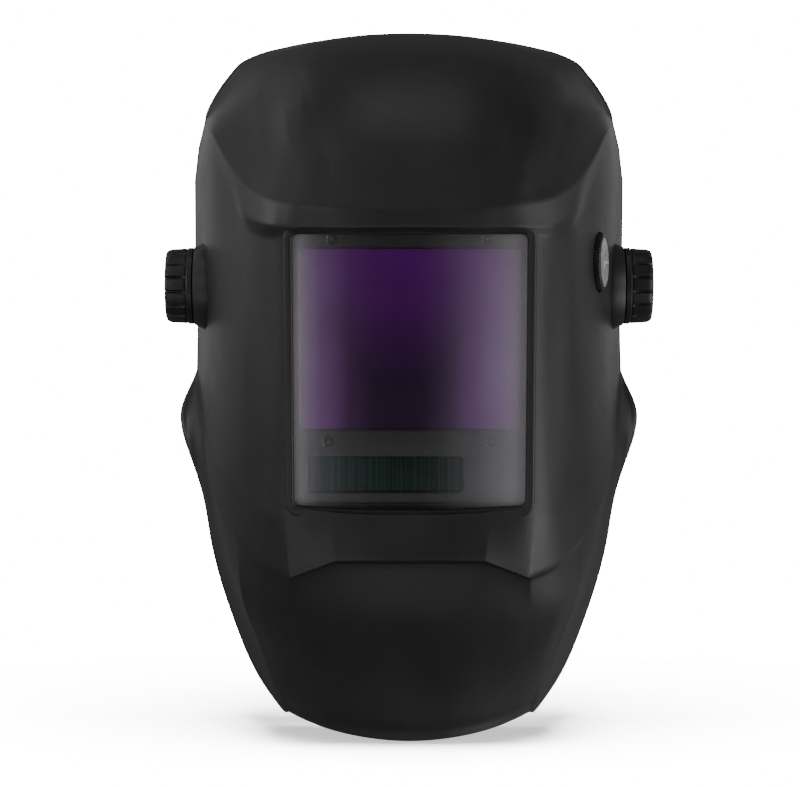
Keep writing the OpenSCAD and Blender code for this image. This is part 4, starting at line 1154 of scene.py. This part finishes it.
def stage_floor():
    """A pale disc that glows more and more away from the object, into the white of the background."""
    n = Nodes("floor")
    mottle = n.noise(6, 3)
    x, y = n.axes()[:2]
    apart = n.maths("SQRT", n.maths("ADD", n.maths("MULTIPLY", x, x), n.maths("MULTIPLY", y, y)))
    far = n.ramp(n.span(apart, 0.2, 0.55, 0, 1), (0.0, 0.03), (0.5, 0.12), (1.0, 1.0))
    n.finish(Base_Color=n.mix(mottle, (0.84, 0.84, 0.84), (0.86, 0.86, 0.86)), Roughness=0.85, Specular=0.1,
             Emission_Color=far, Emission_Strength=WHITE)
    # The floor is see-through from below
    both = n.add("ShaderNodeMixShader")
    n.put(both.inputs[0], n.add("ShaderNodeNewGeometry").outputs["Backfacing"])
    n.put(both.inputs[1], n.bsdf.outputs[0])
    n.put(both.inputs[2], n.add("ShaderNodeBsdfTransparent").outputs[0])
    n.put(n.tree.nodes["Material Output"].inputs["Surface"], both.outputs[0])
    height = cad_box[0].z / MM - 0.5
    rings = [[(r * math.cos(TURN * k / SIDES), FLOOR_Y + r * math.sin(TURN * k / SIDES), height)
              for k in range(SIDES)] for r in (FLOOR_R, 50)]
    verts, faces = loft(rings, caps=False)
    faces.append(tuple(range(SIDES, 2 * SIDES)))
    floor = new_object("floor", verts, faces)
    floor.data.flip_normals()
    floor.data.materials.append(n.material)
    floor.visible_diffuse = False
    floor.visible_glossy = False
    floor.visible_shadow = False
    return floor


def area(name, at, aim, size, power):
    light = bpy.data.lights.new(name, "AREA")
    light.shape = "RECTANGLE"
    light.size = light.size_y = size
    light.energy = power
    obj = bpy.data.objects.new(name, light)
    obj.location = at
    obj.rotation_mode = "QUATERNION"
    obj.rotation_quaternion = (Vector(aim) - Vector(at)).to_track_quat("-Z", "Y")
    bpy.context.scene.collection.objects.link(obj)
    return obj


def lit_only(light, objects):
    """The light reaches these objects only."""
    group = bpy.data.collections.new(light.name + "_on")
    for obj in objects:
        group.objects.link(obj)
    light.light_linking.receiver_collection = group


def world():
    """White where the camera sees it, and a faint light on the object."""
    w = bpy.data.worlds.new("studio")
    bpy.context.scene.world = w
    w.use_nodes = True
    tree = w.node_tree
    ground = tree.nodes["Background"]
    ground.inputs["Color"].default_value = (1, 1, 1, 1)
    ground.inputs["Strength"].default_value = 0.134
    seen = tree.nodes.new("ShaderNodeBackground")
    seen.inputs["Strength"].default_value = WHITE
    pick = tree.nodes.new("ShaderNodeMixShader")
    path = tree.nodes.new("ShaderNodeLightPath")
    tree.links.new(path.outputs["Is Camera Ray"], pick.inputs[0])
    tree.links.new(ground.outputs[0], pick.inputs[1])
    tree.links.new(seen.outputs[0], pick.inputs[2])
    tree.links.new(pick.outputs[0], tree.nodes["World Output"].inputs["Surface"])


def camera():
    cam = bpy.data.cameras.new("camera")
    cam.lens = 123.3
    cam.sensor_width = 36
    cam.clip_start, cam.clip_end = 0.05, 20
    obj = bpy.data.objects.new("camera", cam)
    obj.location = (-0.0046, -1.4, -0.055)
    obj.rotation_euler = (rad(90), 0, 0)
    bpy.context.scene.collection.objects.link(obj)
    bpy.context.scene.camera = obj


floor = stage_floor()
world()
camera()
# Softboxes round the object: degrees from the front, towards +X, degrees up, and power
SOFTBOXES = [(-165, 10, 0.8), (-130, 10, 0.3), (-130, 45, 0.3), (-105, 10, 0.74), (-105, 45, 1.0),
             (-80, 10, 3.6), (-55, -25, 0.82), (-55, 10, 0.2), (-55, 45, 1.08), (-30, -25, 1.06),
             (-30, 10, 1.6), (-30, 45, 0.3), (0, -35, 0.74), (0, 45, 0.4), (0, 80, 1.15), (55, -25, 3.4),
             (55, 10, 2.7), (80, -25, 3.4), (80, 10, 2.0), (105, 10, 0.6), (130, -25, 0.27),
             (150, 10, 0.2), (165, 10, 0.46)]
AIM = Vector((0, 0, -0.03))
lit_only(area("floor_light", (0, -0.4, 1.15), (0, 0.05, -0.3), 0.8, 430), [floor])
# A small light behind reaches the inside of the shell and the headgear, and nothing of the front
SEEN_IN_FRONT = ("floor", "front_cover", "cover_", "inner_cover", "inner_sheet", "interference", "lcd",
                 "polariser", "filter_bezel", "filter_case_front", "solar", "arc_sensors", "sensor_domes")
behind = area("inner_fill", (0, 0.5, -0.03), AIM, 0.17, 1.7)
behind.visible_camera = False
lit_only(behind, [o for o in bpy.context.scene.objects
                  if o.type == "MESH" and not o.name.startswith(SEEN_IN_FRONT)])
for round_to, up, power in SOFTBOXES:
    a, e = rad(round_to), rad(up)
    toward = Vector((math.sin(a) * math.cos(e), -math.cos(a) * math.cos(e), math.sin(e)))
    area(f"softbox_{round_to}_{up}", toward * 1.4 + AIM, AIM, 0.55, power)
